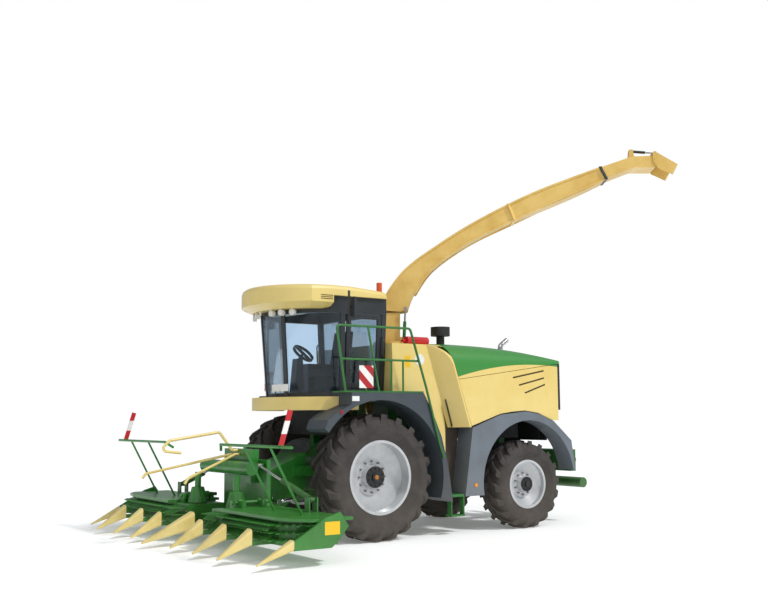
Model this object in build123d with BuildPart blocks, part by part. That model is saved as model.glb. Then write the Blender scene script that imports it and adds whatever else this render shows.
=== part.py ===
from build123d import *
import os
from math import atan2, cos, degrees, hypot, pi, radians, sin, sqrt

# Self-propelled forage harvester with an eight-row maize header.
# X forward, Y to the machine's left, Z up, ground at Z = 0.

# overall stations
FX = 1099.45              # front axle, ahead of the middle of the overall length
WHEELBASE = 3074
RX = FX - WHEELBASE
SKIN = 30              # thickness of a body panel
GAP = 8                # working gap beside a moving panel
FIT = 0.05             # radial play of a pin in its bore

# wheels: radius over the lugs, carcass radius, section width, middle plane
FT_R, FT_CARCASS, FT_W, FT_Y = 963, 915, 620, 1185
RT_R, RT_CARCASS, RT_W, RT_Y = 734, 694, 540, 1130
F_SEAT, F_FLANGE, F_BEAD = 535, 562, 240
R_SEAT, R_FLANGE, R_BEAD = 382, 406, 205
FLANGE_T, BARREL_T, SEAT_PLAY = 18, 15, 0.3
LUGS_FRONT, LUGS_REAR = 16, 15
LUG_BAR, LUG_RAKE, LUG_ROOT = 62, 45, 12
F_DISC_Y, R_DISC_Y = -30, 60
F_HUB_R, R_HUB_R = 190, 140
F_SPINDLE_R, R_SPINDLE_R = 100, 70
HUB_OUT, HUB_IN, HUB_CAP = 120, 40, 50
DISC_T, DISC_RUN = 26, 90

# chassis
RAIL_IN, RAIL_OUT, RAIL_Z0, RAIL_Z1 = 230, 360, 1000, 1280
RAIL_FRONT, RAIL_REAR = FX + 420, FX - 4300
ARM_Z0 = 2140           # underside of the arms that carry the front fenders
CROSS_T, CROSS_X = 120, (FX - 700, FX - 1900, FX - 2500, FX - 4180)
AXLE_DX, AXLE_Z0, AXLE_HALF = 190, 770, 620
AXLE_TUBE_R, AXLE_HUB_R, AXLE_HUB_Y = 150, 185, 800
REAR_BEAM_DX, REAR_BEAM_DZ, REAR_BEAM_Y = 110, 115, 690
KINGPIN_Y, KINGPIN_R, FORK_T, FORK_DX, FORK_GAP = 800, 35, 45, 90, 110
KNUCKLE_R, KNUCKLE_HALF = 75, 104
PIVOT_BLOCK = 200
ENGINE_X0, ENGINE_X1, ENGINE_Y, ENGINE_Z0, ENGINE_Z1 = FX - 3500, FX - 1800, 660, 1500, 2560

# crop flow from the feeder to the spout tower
FLOW_X0, FLOW_X1, FLOW_Y, FLOW_Z0, FLOW_Z1 = FX - 1460, FX + 420, 230, 560, 1650
TOWER_X, TOWER_HALF, TOWER_TOP, TOWER_FLANGE_R = FX - 1200, 220, 3080, 290
SPIGOT_R, SPIGOT_DEEP = 170, 60
FEED_PIVOT_X, FEED_PIVOT_Z, FEED_PIVOT_R = FX + 520, 1050, 55
FEED_EAR_R, FEED_EAR_T = 110, 60

# cab: round front about CAB_X, side walls leaning out towards the roof
CAB_X = FX + 80
GLASS_R0, GLASS_R1, GLASS_T = 970, 1070, 10
GLASS_ANGLE = 70
CAB_REAR, CAB_FLOOR_Z0, CAB_FLOOR_Z1 = FX - 420, 2190, 2255
RING_Z0, RING_Z1, RING_W = 3490, 3550, 90
PILLAR, SILL_H, DOOR_SILL = 80, 90, 64
ROOF_R, ROOF_HALF, ROOF_REAR = 1400, 1060, FX - 450
ROOF_SKIRT_X, ROOF_SKIRT_Z = FX + 600, 3750     # the visor's deep side ends here, the band behind it is dark
ROOF_CROWN_X, ROOF_CROWN_Z, ROOF_SPHERE, ROOF_ROUND = FX + 500, 3985, 7000, 60
BEACON_X, BEACON_Y, BEACON_R, BEACON_H = FX - 335, 930, 45, 110
LAMP_R, LAMP_L, LAMP_RING, LAMP_TURNS = 52, 60, 1215, (12, 22, 32)
DOOR_GAP, DOOR_RIM, DOOR_PIN_IN, DOOR_PIN_R, DOOR_PIN_L = 12, 70, 14, 6, 40
VALANCE_R, VALANCE_Z0, VALANCE_Z1, VALANCE_T, VALANCE_END = 1216, 1985, 2150, 60, FX + 240
SEAT_X, SEAT_W, SEAT_Z = FX + 30, 520, 2660
COLUMN_X, WHEEL_R = FX + 620, 190

# front fenders with the platform on the left one
FENDER_IN, FENDER_OUT, FENDER_TOP, ARCH_FRONT = 925, 1480, 2245, 1170
DECK_T, RAIL_TUBE, RAIL_TOP, RAIL_MID = 26, 19, 3250, 2745

# rear body
PANEL_Y = 1140          # inner face of the flat side panels
HOOD_Y, HOOD_TOP, HOOD_MID_X, HOOD_END, HOOD_FOOT = 1400, 3105, FX - 2500, FX - 3830, 2300
HOOD_MID_TOP, HOOD_REAR_TOP, SHOULDER_R, REAR_SHOULDER_R, CROWN, REAR_CROWN = 3098, 2858, 340, 44, 65, 20
SPLIT_X, SPLIT_Z, SPLIT_RISE = FX - 1720, 2500, 0.136      # the line where the hood's top meets its sides
LIP_X, LIP_Z, LIP_RAKE = FX - 1790, 1700, 0.33             # the hood's front lip leans forward as it rises
FLARE_RUN, FLARE_T, PANEL_TOP = 240, 34, 3040
LID_PIN_R, LID_PIN_L, LID_PIN_IN = 7, 40, 15
SLIT_L, SLIT_W, SLIT_RAKE = 430, 22, 10
EXT_X0, EXT_X1, EXT_Y, EXT_R = FX - 1330, FX - 900, 860, 72
ARCH_REAR, ARCH_REAR_Z = 1030, 775
REAR_FENDER_IN, REAR_FENDER_OUT = 1060, 1420

# spout: swung out to the rear left, raised as it unloads
SPOUT_SWING = 35.5
SPOUT_W, BASE_W, SPOUT_WALL = 448, 400, 12
TURN_R, TURN_Z0, TURN_Z1 = 300, 3086, 3150
BASE_U0, BASE_U1, BASE_TOP = -200, 170, 3640
LIFT_U, LIFT_Z, LIFT_PIN_R, LIFT_EAR = -150, 3760, 25, 60
EYE_LOW_U, EYE_LOW_Z, EYE_HIGH_U, EYE_HIGH_Z = 235, 3200, 262, 3705
SPOUT_CYL_R, SPOUT_ROD_R, SPOUT_CYL_OFF, SPOUT_PIN_R = 28, 15, 262, 14
SPOUT_EYE_W, OPEN_GAP, EYE_LOOSE, BOSS_T = 36, 6, 6, 14
FLAP_U, FLAP_Z, FLAP_PIN_R, FLAP_W = 4600, 6285, 14, 330
FLAP_CYL_U, FLAP_CYL_Z, FLAP_EYE_U, FLAP_EYE_Z = 4235, 6475, 4650, 6440
FLAP_CYL_R, FLAP_ROD_R = 24, 13

# header: centre section, two folding wings, nine dividers
ROW = 750
HEAD_HALF, HINGE_Y, HINGE_Z, HINGE_R = 3100, 900, 665, 28
DECK_Z0, DECK_Z1, DECK_REAR, DECK_FRONT = 230, 560, FX + 1560, FX + 2330
TIP_X, TIP_Z, SNOUT_BASE, SNOUT_H, SNOUT_W = FX + 3083, 90, FX + 2600, 215, 170
CENTRE_TIP, CENTRE_BASE, OUTER_TIP, OUTER_BASE = FX + 3200, FX + 2400, FX + 2925, FX + 2430
TINE_LAYERS, TINE_PITCH, TINE_REACH, TINE_LEAN, TINE_T = (300, 400, 500), 90, 190, 70, 14
CONE_X, CONE_Y, CONE_R0, CONE_R1, CONE_H, POST_R, POST_H = FX + 2035, 670, 150, 88, 245, 48, 230
GUARD_X, GUARD_Z, GUARD_Y0, GUARD_Y1, GUARD_R = FX + 2455, 1500, 1000, 3040, 20
POST_FOOT_X, POST_Y = FX + 1960, (1720, 2470)
FOLD_X, FOLD_PIN_Y, FOLD_PIN_Z, FOLD_EYE_Y, FOLD_EYE_Z = FX + 1640, 2150, 760, 620, 1165
FOLD_CYL_R, FOLD_ROD_R, FOLD_CYL_L, PIN_R = 45, 22, 830, 22
HLIFT_Y, HLIFT_X0, HLIFT_Z0, HLIFT_X1, HLIFT_Z1 = 520, FX + 330, 740, FX + 1250, 610
HLIFT_CYL_R, HLIFT_ROD_R, HLIFT_CYL_L = 55, 30, 620

os.makedirs("parts", exist_ok=True)


def side_prism(points, y_from, y_to):
    """A plate whose outline lies in the vertical plane along the machine."""
    with BuildPart() as plate:
        with BuildSketch(Plane.XZ.offset(-y_from)):
            with BuildLine():
                Polyline(*points, close=True)
            make_face()
        extrude(amount=y_from - y_to)
    return plate.part


def plan_prism(points, z_from, z_to):
    """A plate whose outline lies flat, seen from above."""
    with BuildPart() as plate:
        with BuildSketch(Plane.XY.offset(z_from)):
            with BuildLine():
                Polyline(*points, close=True)
            make_face()
        extrude(amount=z_to - z_from)
    return plate.part


def block(x0, x1, y0, y1, z0, z1):
    """A box between its six faces."""
    with BuildPart(Plane(((x0 + x1) / 2, (y0 + y1) / 2, (z0 + z1) / 2))) as box:
        Box(abs(x1 - x0), abs(y1 - y0), abs(z1 - z0))
    return box.part


def rod(start, end, radius):
    """A round bar between two points."""
    along = Vector(*end) - Vector(*start)
    with BuildPart(Plane(origin=start, z_dir=along)) as bar:
        Cylinder(radius, along.length, align=(Align.CENTER, Align.CENTER, Align.MIN))
    return bar.part


def tube(points, radius, bend):
    """A bent round tube through the given corners."""
    with BuildPart() as pipe:
        with BuildLine() as run:
            FilletPolyline(*points, radius=bend)
        with BuildSketch(Plane(origin=run.line @ 0, z_dir=run.line % 0)):
            Circle(radius)
        sweep(path=run.line)
    return pipe.part


def eye(at, axis, outer, bore, width):
    """A flat round eye with a bore, its middle at the pin."""
    with BuildPart(Plane(origin=at, z_dir=axis)) as ring:
        Cylinder(outer, width)
        Cylinder(bore, width, mode=Mode.SUBTRACT)
    return ring.part


def tyre_ring(sides, low, low_r, high, high_r):
    """A many-sided frustum about the Y axis between two stations."""
    with BuildPart() as ring:
        for y, radius in ((low, low_r), (high, high_r)):
            with BuildSketch(Plane.XZ.offset(-y)):
                RegularPolygon(radius, sides)
        loft(ruled=True)
    return ring.part


def make_tyre(radius, carcass, width, seat, flange, bead, lugs):
    """A tractor tyre about the Y axis: a many-sided carcass with two rows of raked lugs."""
    half = width / 2
    crown = half * 0.8
    middle = (seat + carcass) / 2
    length = half * 1.05
    reach = (length * sin(radians(LUG_RAKE)) + LUG_BAR * cos(radians(LUG_RAKE))) / 2
    flat = sqrt(radius**2 - reach**2)
    lean = degrees(atan2(reach, flat))
    sides = 2 * lugs
    with BuildPart() as tyre:
        add(tyre_ring(sides, -crown, carcass, crown, carcass))
        for side in (1, -1):
            add(tyre_ring(sides, side * crown, carcass, side * half, middle))
            add(tyre_ring(sides, side * bead, flange + GAP / 2, side * half, middle), mode=Mode.SUBTRACT)
            for i in range(lugs):
                turn = 180 + lean + 360 / lugs * (i + (0 if side > 0 else 0.5))
                face = Plane((0, 0, 0)).rotated((0, turn, 0)).offset(carcass - LUG_ROOT)
                with BuildSketch(face):
                    with Locations((0, side * half * 0.42)):
                        Rectangle(LUG_BAR, length, rotation=side * LUG_RAKE)
                extrude(amount=flat - carcass + LUG_ROOT)
        with BuildSketch(Plane.XZ.offset(-half)):
            RegularPolygon(seat + SEAT_PLAY, sides, major_radius=False)
        extrude(amount=width, mode=Mode.SUBTRACT)
    return tyre.part


def make_rim(seat, flange, bead, disc_y, hub, spindle):
    """A dished wheel with flanges, disc and closed hub, outer side towards +Y."""
    inner = seat - BARREL_T
    edge = bead + FLANGE_T
    with BuildPart() as rim:
        with BuildSketch(Plane.XY):
            with BuildLine():
                Polyline(
                    (flange, -edge),
                    (flange, -bead),
                    (seat, -bead),
                    (seat, bead),
                    (flange, bead),
                    (flange, edge),
                    (inner, edge),
                    (inner, disc_y + DISC_RUN),
                    (hub + DISC_RUN, disc_y + DISC_T),
                    (hub, disc_y + DISC_T),
                    (hub * 0.85, disc_y + HUB_OUT),
                    (0, disc_y + HUB_OUT),
                    (0, disc_y + HUB_OUT - HUB_CAP),
                    (spindle + FIT, disc_y + HUB_OUT - HUB_CAP),
                    (spindle + FIT, disc_y - HUB_IN),
                    (hub, disc_y - HUB_IN),
                    (hub + DISC_RUN, disc_y),
                    (inner, disc_y + DISC_RUN - DISC_T),
                    (inner, -edge),
                    close=True,
                )
            make_face()
        revolve(axis=Axis.Y)
    return rim.part


# wheels
front_tyre = make_tyre(FT_R, FT_CARCASS, FT_W, F_SEAT, F_FLANGE, F_BEAD, LUGS_FRONT)
front_rim = make_rim(F_SEAT, F_FLANGE, F_BEAD, F_DISC_Y, F_HUB_R, F_SPINDLE_R)
rear_tyre = make_tyre(RT_R, RT_CARCASS, RT_W, R_SEAT, R_FLANGE, R_BEAD, LUGS_REAR)
rear_rim = make_rim(R_SEAT, R_FLANGE, R_BEAD, R_DISC_Y, R_HUB_R, R_SPINDLE_R)

with BuildPart() as tyre_front_left:
    add(front_tyre.moved(Location((FX, FT_Y, FT_R))))
tyre_front_left.part.label = "tyre_front_left"
export_step(tyre_front_left.part, "parts/tyre_front_left.step")

with BuildPart() as rim_front_left:
    add(front_rim.moved(Location((FX, FT_Y, FT_R))))
rim_front_left.part.label = "rim_front_left"
export_step(rim_front_left.part, "parts/rim_front_left.step")

with BuildPart() as tyre_front_right:
    add(tyre_front_left.part.mirror(Plane.XZ))
tyre_front_right.part.label = "tyre_front_right"
export_step(tyre_front_right.part, "parts/tyre_front_right.step")

with BuildPart() as rim_front_right:
    add(rim_front_left.part.mirror(Plane.XZ))
rim_front_right.part.label = "rim_front_right"
export_step(rim_front_right.part, "parts/rim_front_right.step")

with BuildPart() as tyre_rear_left:
    add(rear_tyre.moved(Location((RX, RT_Y, RT_R))))
tyre_rear_left.part.label = "tyre_rear_left"
export_step(tyre_rear_left.part, "parts/tyre_rear_left.step")

with BuildPart() as rim_rear_left:
    add(rear_rim.moved(Location((RX, RT_Y, RT_R))))
rim_rear_left.part.label = "rim_rear_left"
export_step(rim_rear_left.part, "parts/rim_rear_left.step")

with BuildPart() as tyre_rear_right:
    add(tyre_rear_left.part.mirror(Plane.XZ))
tyre_rear_right.part.label = "tyre_rear_right"
export_step(tyre_rear_right.part, "parts/tyre_rear_right.step")

with BuildPart() as rim_rear_right:
    add(rim_rear_left.part.mirror(Plane.XZ))
rim_rear_right.part.label = "rim_rear_right"
export_step(rim_rear_right.part, "parts/rim_rear_right.step")

# rear knuckles: a post on the kingpin with the wheel's spindle
with BuildPart() as knuckle_left:
    with Locations((RX, KINGPIN_Y, RT_R)):
        Cylinder(KNUCKLE_R, 2 * KNUCKLE_HALF)
    add(rod((RX, KINGPIN_Y, RT_R), (RX, RT_Y + R_DISC_Y + HUB_OUT - HUB_CAP - GAP, RT_R), R_SPINDLE_R))
    with Locations((RX, KINGPIN_Y, RT_R)):
        Cylinder(KINGPIN_R + FIT, 2 * KNUCKLE_HALF, mode=Mode.SUBTRACT)
knuckle_left.part.label = "knuckle_left"
export_step(knuckle_left.part, "parts/knuckle_left.step")

with BuildPart() as knuckle_right:
    add(knuckle_left.part.mirror(Plane.XZ))
knuckle_right.part.label = "knuckle_right"
export_step(knuckle_right.part, "parts/knuckle_right.step")

# rear axle: beam with a fork and kingpin at each end, carried on a pivot block
with BuildPart() as rear_axle:
    add(block(RX - REAR_BEAM_DX, RX + REAR_BEAM_DX, -REAR_BEAM_Y, REAR_BEAM_Y,
              RT_R - REAR_BEAM_DZ, RT_R + REAR_BEAM_DZ))
    for z0 in (RT_R + FORK_GAP, RT_R - FORK_GAP - FORK_T):
        add(block(RX - FORK_DX, RX + FORK_DX, REAR_BEAM_Y - FORK_DX, KINGPIN_Y + KNUCKLE_R, z0, z0 + FORK_T))
        add(block(RX - FORK_DX, RX + FORK_DX, -KINGPIN_Y - KNUCKLE_R, FORK_DX - REAR_BEAM_Y, z0, z0 + FORK_T))
    for y in (KINGPIN_Y, -KINGPIN_Y):
        with Locations((RX, y, RT_R)):
            Cylinder(KINGPIN_R, 2 * (FORK_GAP + FORK_T))
    add(block(RX - PIVOT_BLOCK, RX + PIVOT_BLOCK, -RAIL_IN, RAIL_IN, RT_R + REAR_BEAM_DZ, RAIL_Z0))
    add(block(RX - PIVOT_BLOCK, RX + PIVOT_BLOCK, -RAIL_OUT, RAIL_OUT, RAIL_Z0 - FORK_T, RAIL_Z0))
rear_axle.part.label = "rear_axle"
export_step(rear_axle.part, "parts/rear_axle.step")

# front axle: gear housing, tubes, final drives and spindles
with BuildPart() as front_axle:
    add(block(FX - AXLE_DX, FX + AXLE_DX, FLOW_Y + GAP, AXLE_HALF, AXLE_Z0, RAIL_Z0))
    add(rod((FX, AXLE_HALF - FORK_T, FT_R), (FX, AXLE_HUB_Y, FT_R), AXLE_TUBE_R))
    add(rod((FX, AXLE_HUB_Y - DISC_RUN, FT_R), (FX, AXLE_HUB_Y + FORK_T, FT_R), AXLE_HUB_R))
    add(rod((FX, AXLE_HUB_Y, FT_R), (FX, FT_Y + F_DISC_Y + HUB_OUT - HUB_CAP - GAP, FT_R), F_SPINDLE_R))
    mirror(about=Plane.XZ)
    add(block(FX - AXLE_DX, FX + AXLE_DX, -FLOW_Y - GAP * 2, FLOW_Y + GAP * 2, AXLE_Z0 - DISC_RUN * 3, FLOW_Z0))
    for y in (FLOW_Y + GAP, -FLOW_Y - GAP - FORK_T):
        add(block(FX - AXLE_DX, FX + AXLE_DX, y, y + FORK_T, AXLE_Z0 - DISC_RUN * 3, RAIL_Z0))
front_axle.part.label = "front_axle"
export_step(front_axle.part, "parts/front_axle.step")

# main frame: two rails tied by cross members, cab posts and the rear carrier
with BuildPart() as main_frame:
    for y in (RAIL_IN, -RAIL_OUT):
        add(block(RAIL_REAR, RAIL_FRONT, y, y + RAIL_OUT - RAIL_IN, RAIL_Z0, RAIL_Z1))
    for x in CROSS_X[1:]:
        add(block(x - CROSS_T / 2, x + CROSS_T / 2, -RAIL_OUT, RAIL_OUT, RAIL_Z0, RAIL_Z1))
    for x in (FX + 130, FX - 330):
        for y in (FLOW_Y + GAP, -RAIL_OUT):
            add(block(x - CROSS_T / 2, x + CROSS_T / 2, y, y + RAIL_OUT - FLOW_Y - GAP, RAIL_Z1, CAB_FLOOR_Z0))
        for y in (RAIL_OUT - SKIN, -FENDER_IN):
            add(block(x - CROSS_T / 2, x + CROSS_T / 2, y, y + FENDER_IN - RAIL_OUT + SKIN, ARM_Z0, CAB_FLOOR_Z0))
    for y in (RAIL_OUT - SKIN, -REAR_FENDER_IN):
        add(block(FX - 4090, FX - 4020, y, y + REAR_FENDER_IN - RAIL_OUT + SKIN, RAIL_Z1 - CROSS_T, RAIL_Z1))
    for y in (RAIL_IN, -RAIL_OUT):
        add(block(FX - 3790, FX - 3700, y, y + RAIL_OUT - RAIL_IN, RAIL_Z1, 1800))
    add(block(FX - 1500, FX - 1380, RAIL_IN, PANEL_Y - SKIN, RAIL_Z0, RAIL_Z0 + CROSS_T))
    add(block(FX - 1500, FX - 1380, SKIN - PANEL_Y, -RAIL_IN, RAIL_Z0, RAIL_Z0 + CROSS_T))
    for x in (ENGINE_X0 + CROSS_T, ENGINE_X1 - CROSS_T):
        for y in (RAIL_IN, -RAIL_OUT):
            add(block(x - CROSS_T / 2, x + CROSS_T / 2, y, y + RAIL_OUT - RAIL_IN, RAIL_Z1, ENGINE_Z0))
main_frame.part.label = "main_frame"
export_step(main_frame.part, "parts/main_frame.step")

# engine, one plain mass
with BuildPart() as engine:
    add(block(ENGINE_X0, ENGINE_X1, -ENGINE_Y, ENGINE_Y, ENGINE_Z0, ENGINE_Z1))
engine.part.label = "engine"
export_step(engine.part, "parts/engine.step")

# crop flow housing: chopper body and the tower under the spout
with BuildPart() as crop_channel:
    add(side_prism([(FLOW_X1, FLOW_Z0 + 200), (FLOW_X1, RAIL_Z0 + 250), (FX + 100, FLOW_Z1 - 150), (FX - 800, FLOW_Z1),
                    (FLOW_X0, FLOW_Z1), (FLOW_X0, FLOW_Z0 + 420), (FX - 700, FLOW_Z0 + 60), (FX - 200, FLOW_Z0),
                    (FX + 200, FLOW_Z0)], -FLOW_Y, FLOW_Y))
    add(block(TOWER_X - TOWER_HALF, TOWER_X + TOWER_HALF, -TOWER_HALF, TOWER_HALF, FLOW_Z1 - FORK_T, TOWER_TOP - FORK_T))
    with Locations((TOWER_X, 0, TOWER_TOP - FORK_T)):
        Cylinder(TOWER_FLANGE_R, 2 * FORK_T)
    with Locations((TOWER_X, 0, TOWER_TOP - SPIGOT_DEEP / 2)):
        Cylinder(SPIGOT_R, SPIGOT_DEEP, mode=Mode.SUBTRACT)
    add(rod((FEED_PIVOT_X, -AXLE_HALF, FEED_PIVOT_Z), (FEED_PIVOT_X, AXLE_HALF, FEED_PIVOT_Z), FEED_PIVOT_R))
    add(rod((HLIFT_X0, -HLIFT_Y - 45, HLIFT_Z0), (HLIFT_X0, HLIFT_Y + 45, HLIFT_Z0), PIN_R))
    for y in (FLOW_Y - FORK_T, -FLOW_Y):
        add(block(FLOW_X1 - FORK_T, FEED_PIVOT_X, y, y + FORK_T, FEED_PIVOT_Z - FEED_PIVOT_R, FEED_PIVOT_Z + FEED_PIVOT_R))
crop_channel.part.label = "crop_channel"
export_step(crop_channel.part, "parts/crop_channel.step")


def cab_outline(radius, half, rear):
    """Plan of the cab: a round nose running into straight sides."""
    meet = CAB_X + sqrt(radius**2 - half**2)
    with BuildSketch() as plan:
        with BuildLine():
            ThreePointArc((meet, -half), (CAB_X + radius, 0), (meet, half))
            Polyline((meet, half), (rear, half), (rear, -half), (meet, -half))
        make_face()
    return plan.sketch


LEAN = (GLASS_R1 - GLASS_R0) * sin(radians(GLASS_ANGLE)) / (RING_Z0 - CAB_FLOOR_Z1)
HALF_LOW = GLASS_R0 * sin(radians(GLASS_ANGLE))
HALF_HIGH = GLASS_R1 * sin(radians(GLASS_ANGLE))
A_LOW_X = CAB_X + GLASS_R0 * cos(radians(GLASS_ANGLE))
A_HIGH_X = CAB_X + GLASS_R1 * cos(radians(GLASS_ANGLE))


def cab_pillar(x_low, x_high, y_low, y_high, depth):
    """A leaning post between the floor and the roof ring."""
    with BuildPart() as post:
        with BuildSketch(Plane.XY.offset(CAB_FLOOR_Z1)):
            with Locations((x_low - depth / 2, y_low - PILLAR / 2)):
                Rectangle(depth, PILLAR)
        with BuildSketch(Plane.XY.offset(RING_Z0)):
            with Locations((x_high - depth / 2, y_high - PILLAR / 2)):
                Rectangle(depth, PILLAR)
        loft()
    return post.part


def wall_plane(side):
    """The leaning plane of a cab side, its origin at the foot of the front pillar."""
    up = Vector(0, side * LEAN, 1).normalized()
    return Plane(origin=(A_LOW_X - GAP - PILLAR, side * HALF_LOW, CAB_FLOOR_Z1), x_dir=(-1, 0, 0),
                 z_dir=Vector(-1, 0, 0).cross(up))


OPENING = A_LOW_X - GAP - PILLAR - CAB_REAR - PILLAR
WALL_H = (RING_Z0 - CAB_FLOOR_Z1) * sqrt(1 + LEAN**2)


def door_pin_plane(v):
    """A plane square to the door's hinge line, at a height v up the leaning wall."""
    wall = wall_plane(1)
    at = wall.from_local_coords((OPENING - DOOR_GAP - DOOR_PIN_IN, v, -DOOR_PIN_IN))
    return Plane(origin=at, x_dir=wall.x_dir, z_dir=wall.y_dir)


floor_plan = cab_outline(GLASS_R0 + GLASS_T, HALF_LOW, CAB_REAR)
ring_plan = cab_outline(GLASS_R1 + GLASS_T, HALF_HIGH, CAB_REAR)
ring_hole = cab_outline(GLASS_R1 - RING_W, HALF_HIGH - RING_W, CAB_REAR + RING_W)

# cab cell: floor, leaning pillars, roof ring and the framed rear wall
with BuildPart() as cab_frame:
    with BuildSketch(Plane.XY.offset(CAB_FLOOR_Z0)):
        add(floor_plan)
    extrude(amount=CAB_FLOOR_Z1 - CAB_FLOOR_Z0)
    with BuildSketch(Plane.XY.offset(RING_Z0)):
        add(ring_plan)
        add(ring_hole, mode=Mode.SUBTRACT)
    extrude(amount=RING_Z1 - RING_Z0)
    with BuildSketch(Plane.XY.offset(RING_Z1)):
        add(ring_plan)
        add(ring_hole, mode=Mode.SUBTRACT)
        with Locations((ROOF_SKIRT_X, 0)):
            Rectangle(2 * ROOF_R, 2 * ROOF_R, align=(Align.MIN, Align.CENTER), mode=Mode.SUBTRACT)
    extrude(amount=ROOF_SKIRT_Z - RING_Z1)
    front_post = cab_pillar(A_LOW_X - GAP, A_HIGH_X - GAP, HALF_LOW, HALF_HIGH, PILLAR)
    rear_post = cab_pillar(CAB_REAR + PILLAR, CAB_REAR + PILLAR, HALF_LOW, HALF_HIGH, PILLAR)
    add(front_post)
    add(rear_post)
    add(front_post.mirror(Plane.XZ))
    add(rear_post.mirror(Plane.XZ))
    add(block(CAB_REAR, CAB_REAR + PILLAR, PILLAR - HALF_LOW, HALF_LOW - PILLAR, CAB_FLOOR_Z1, CAB_FLOOR_Z1 + 4 * SILL_H))
    add(block(CAB_REAR, A_LOW_X - GAP, HALF_LOW - PILLAR, HALF_LOW, CAB_FLOOR_Z1, CAB_FLOOR_Z1 + DOOR_SILL))
    for v in (DOOR_SILL, WALL_H):
        with BuildSketch(door_pin_plane(v)):
            Circle(DOOR_PIN_R)
        extrude(amount=DOOR_PIN_L, both=True)
cab_frame.part.label = "cab_frame"
export_step(cab_frame.part, "parts/cab_frame.step")

# fixed panes: the round windscreen, part of a cone, the right side and the rear
with BuildPart() as cab_glass:
    with BuildSketch(Plane.XZ) as pane:
        with BuildLine():
            Polyline(
                (CAB_X + GLASS_R0 - GLASS_T, CAB_FLOOR_Z1),
                (CAB_X + GLASS_R0, CAB_FLOOR_Z1),
                (CAB_X + GLASS_R1, RING_Z0),
                (CAB_X + GLASS_R1 - GLASS_T, RING_Z0),
                close=True,
            )
        make_face()
    revolve(axis=Axis((CAB_X, 0, 0), (0, 0, 1)), revolution_arc=GLASS_ANGLE)
    revolve(pane.sketch, axis=Axis((CAB_X, 0, 0), (0, 0, 1)), revolution_arc=-GLASS_ANGLE)
    with BuildSketch(wall_plane(-1).offset(PILLAR / 2)):
        with Locations((OPENING / 2, WALL_H / 2)):
            Rectangle(OPENING, WALL_H - 2 * GLASS_T)
    extrude(amount=GLASS_T)
    with BuildSketch(Plane.YZ.offset(CAB_REAR + PILLAR / 2)):
        with BuildLine():
            Polyline(
                (PILLAR - HALF_LOW - 4 * SILL_H * LEAN, CAB_FLOOR_Z1 + 4 * SILL_H),
                (HALF_LOW - PILLAR + 4 * SILL_H * LEAN, CAB_FLOOR_Z1 + 4 * SILL_H),
                (HALF_HIGH - PILLAR, RING_Z0),
                (PILLAR - HALF_HIGH, RING_Z0),
                close=True,
            )
        make_face()
    extrude(amount=GLASS_T)
cab_glass.part.label = "cab_glass"
export_step(cab_glass.part, "parts/cab_glass.step")

# cab door: a leaning frame on two hinge pins at its rear edge, with its pane let in
DOOR_W = OPENING - 2 * DOOR_GAP
DOOR_H = WALL_H - DOOR_SILL - 2 * DOOR_GAP
with BuildPart() as cab_door:
    with BuildSketch(wall_plane(1).offset(-PILLAR / 2)):
        with Locations((OPENING / 2, (WALL_H + DOOR_SILL) / 2)):
            Rectangle(DOOR_W, DOOR_H)
            Rectangle(DOOR_W - 2 * DOOR_RIM, DOOR_H - 2 * DOOR_RIM, mode=Mode.SUBTRACT)
    extrude(amount=PILLAR / 2)
    for v in (DOOR_SILL, WALL_H):
        with BuildSketch(door_pin_plane(v)):
            Circle(DOOR_PIN_R + FIT)
        extrude(amount=DOOR_PIN_L + GAP, both=True, mode=Mode.SUBTRACT)
cab_door.part.label = "cab_door"
export_step(cab_door.part, "parts/cab_door.step")

with BuildPart() as door_glass:
    with BuildSketch(wall_plane(1).offset(-PILLAR / 4)):
        with Locations((OPENING / 2, (WALL_H + DOOR_SILL) / 2)):
            Rectangle(DOOR_W - 2 * DOOR_RIM, DOOR_H - 2 * DOOR_RIM)
    extrude(amount=GLASS_T)
door_glass.part.label = "door_glass"
export_step(door_glass.part, "parts/door_glass.step")

# roof: a shallow spherical dome over a visor that runs out ahead of the glass
roof_plan = cab_outline(ROOF_R, ROOF_HALF, ROOF_REAR)
with BuildPart() as cab_roof:
    with BuildSketch(Plane.XY.offset(RING_Z1)):
        add(roof_plan)
    extrude(amount=ROOF_CROWN_Z - RING_Z1)
    with Locations((ROOF_CROWN_X, 0, ROOF_CROWN_Z - ROOF_SPHERE)):
        Sphere(ROOF_SPHERE, rotation=(90, 0, 0), mode=Mode.INTERSECT)
    with BuildSketch(Plane.XY.offset(RING_Z1)):
        with Locations((ROOF_SKIRT_X, 0)):
            Rectangle(ROOF_R, 2 * ROOF_R, align=(Align.MAX, Align.CENTER))
    extrude(amount=ROOF_SKIRT_Z - RING_Z1, mode=Mode.SUBTRACT)
    fillet(cab_roof.faces().filter_by(GeomType.SPHERE).edges(), ROOF_ROUND)
    for y in (BEACON_Y, -BEACON_Y):
        add(rod((BEACON_X, y, ROOF_SKIRT_Z + BEACON_R), (BEACON_X, y, ROOF_CROWN_Z + BEACON_H), BEACON_R), mode=Mode.SUBTRACT)
cab_roof.part.label = "cab_roof"
export_step(cab_roof.part, "parts/cab_roof.step")

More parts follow.
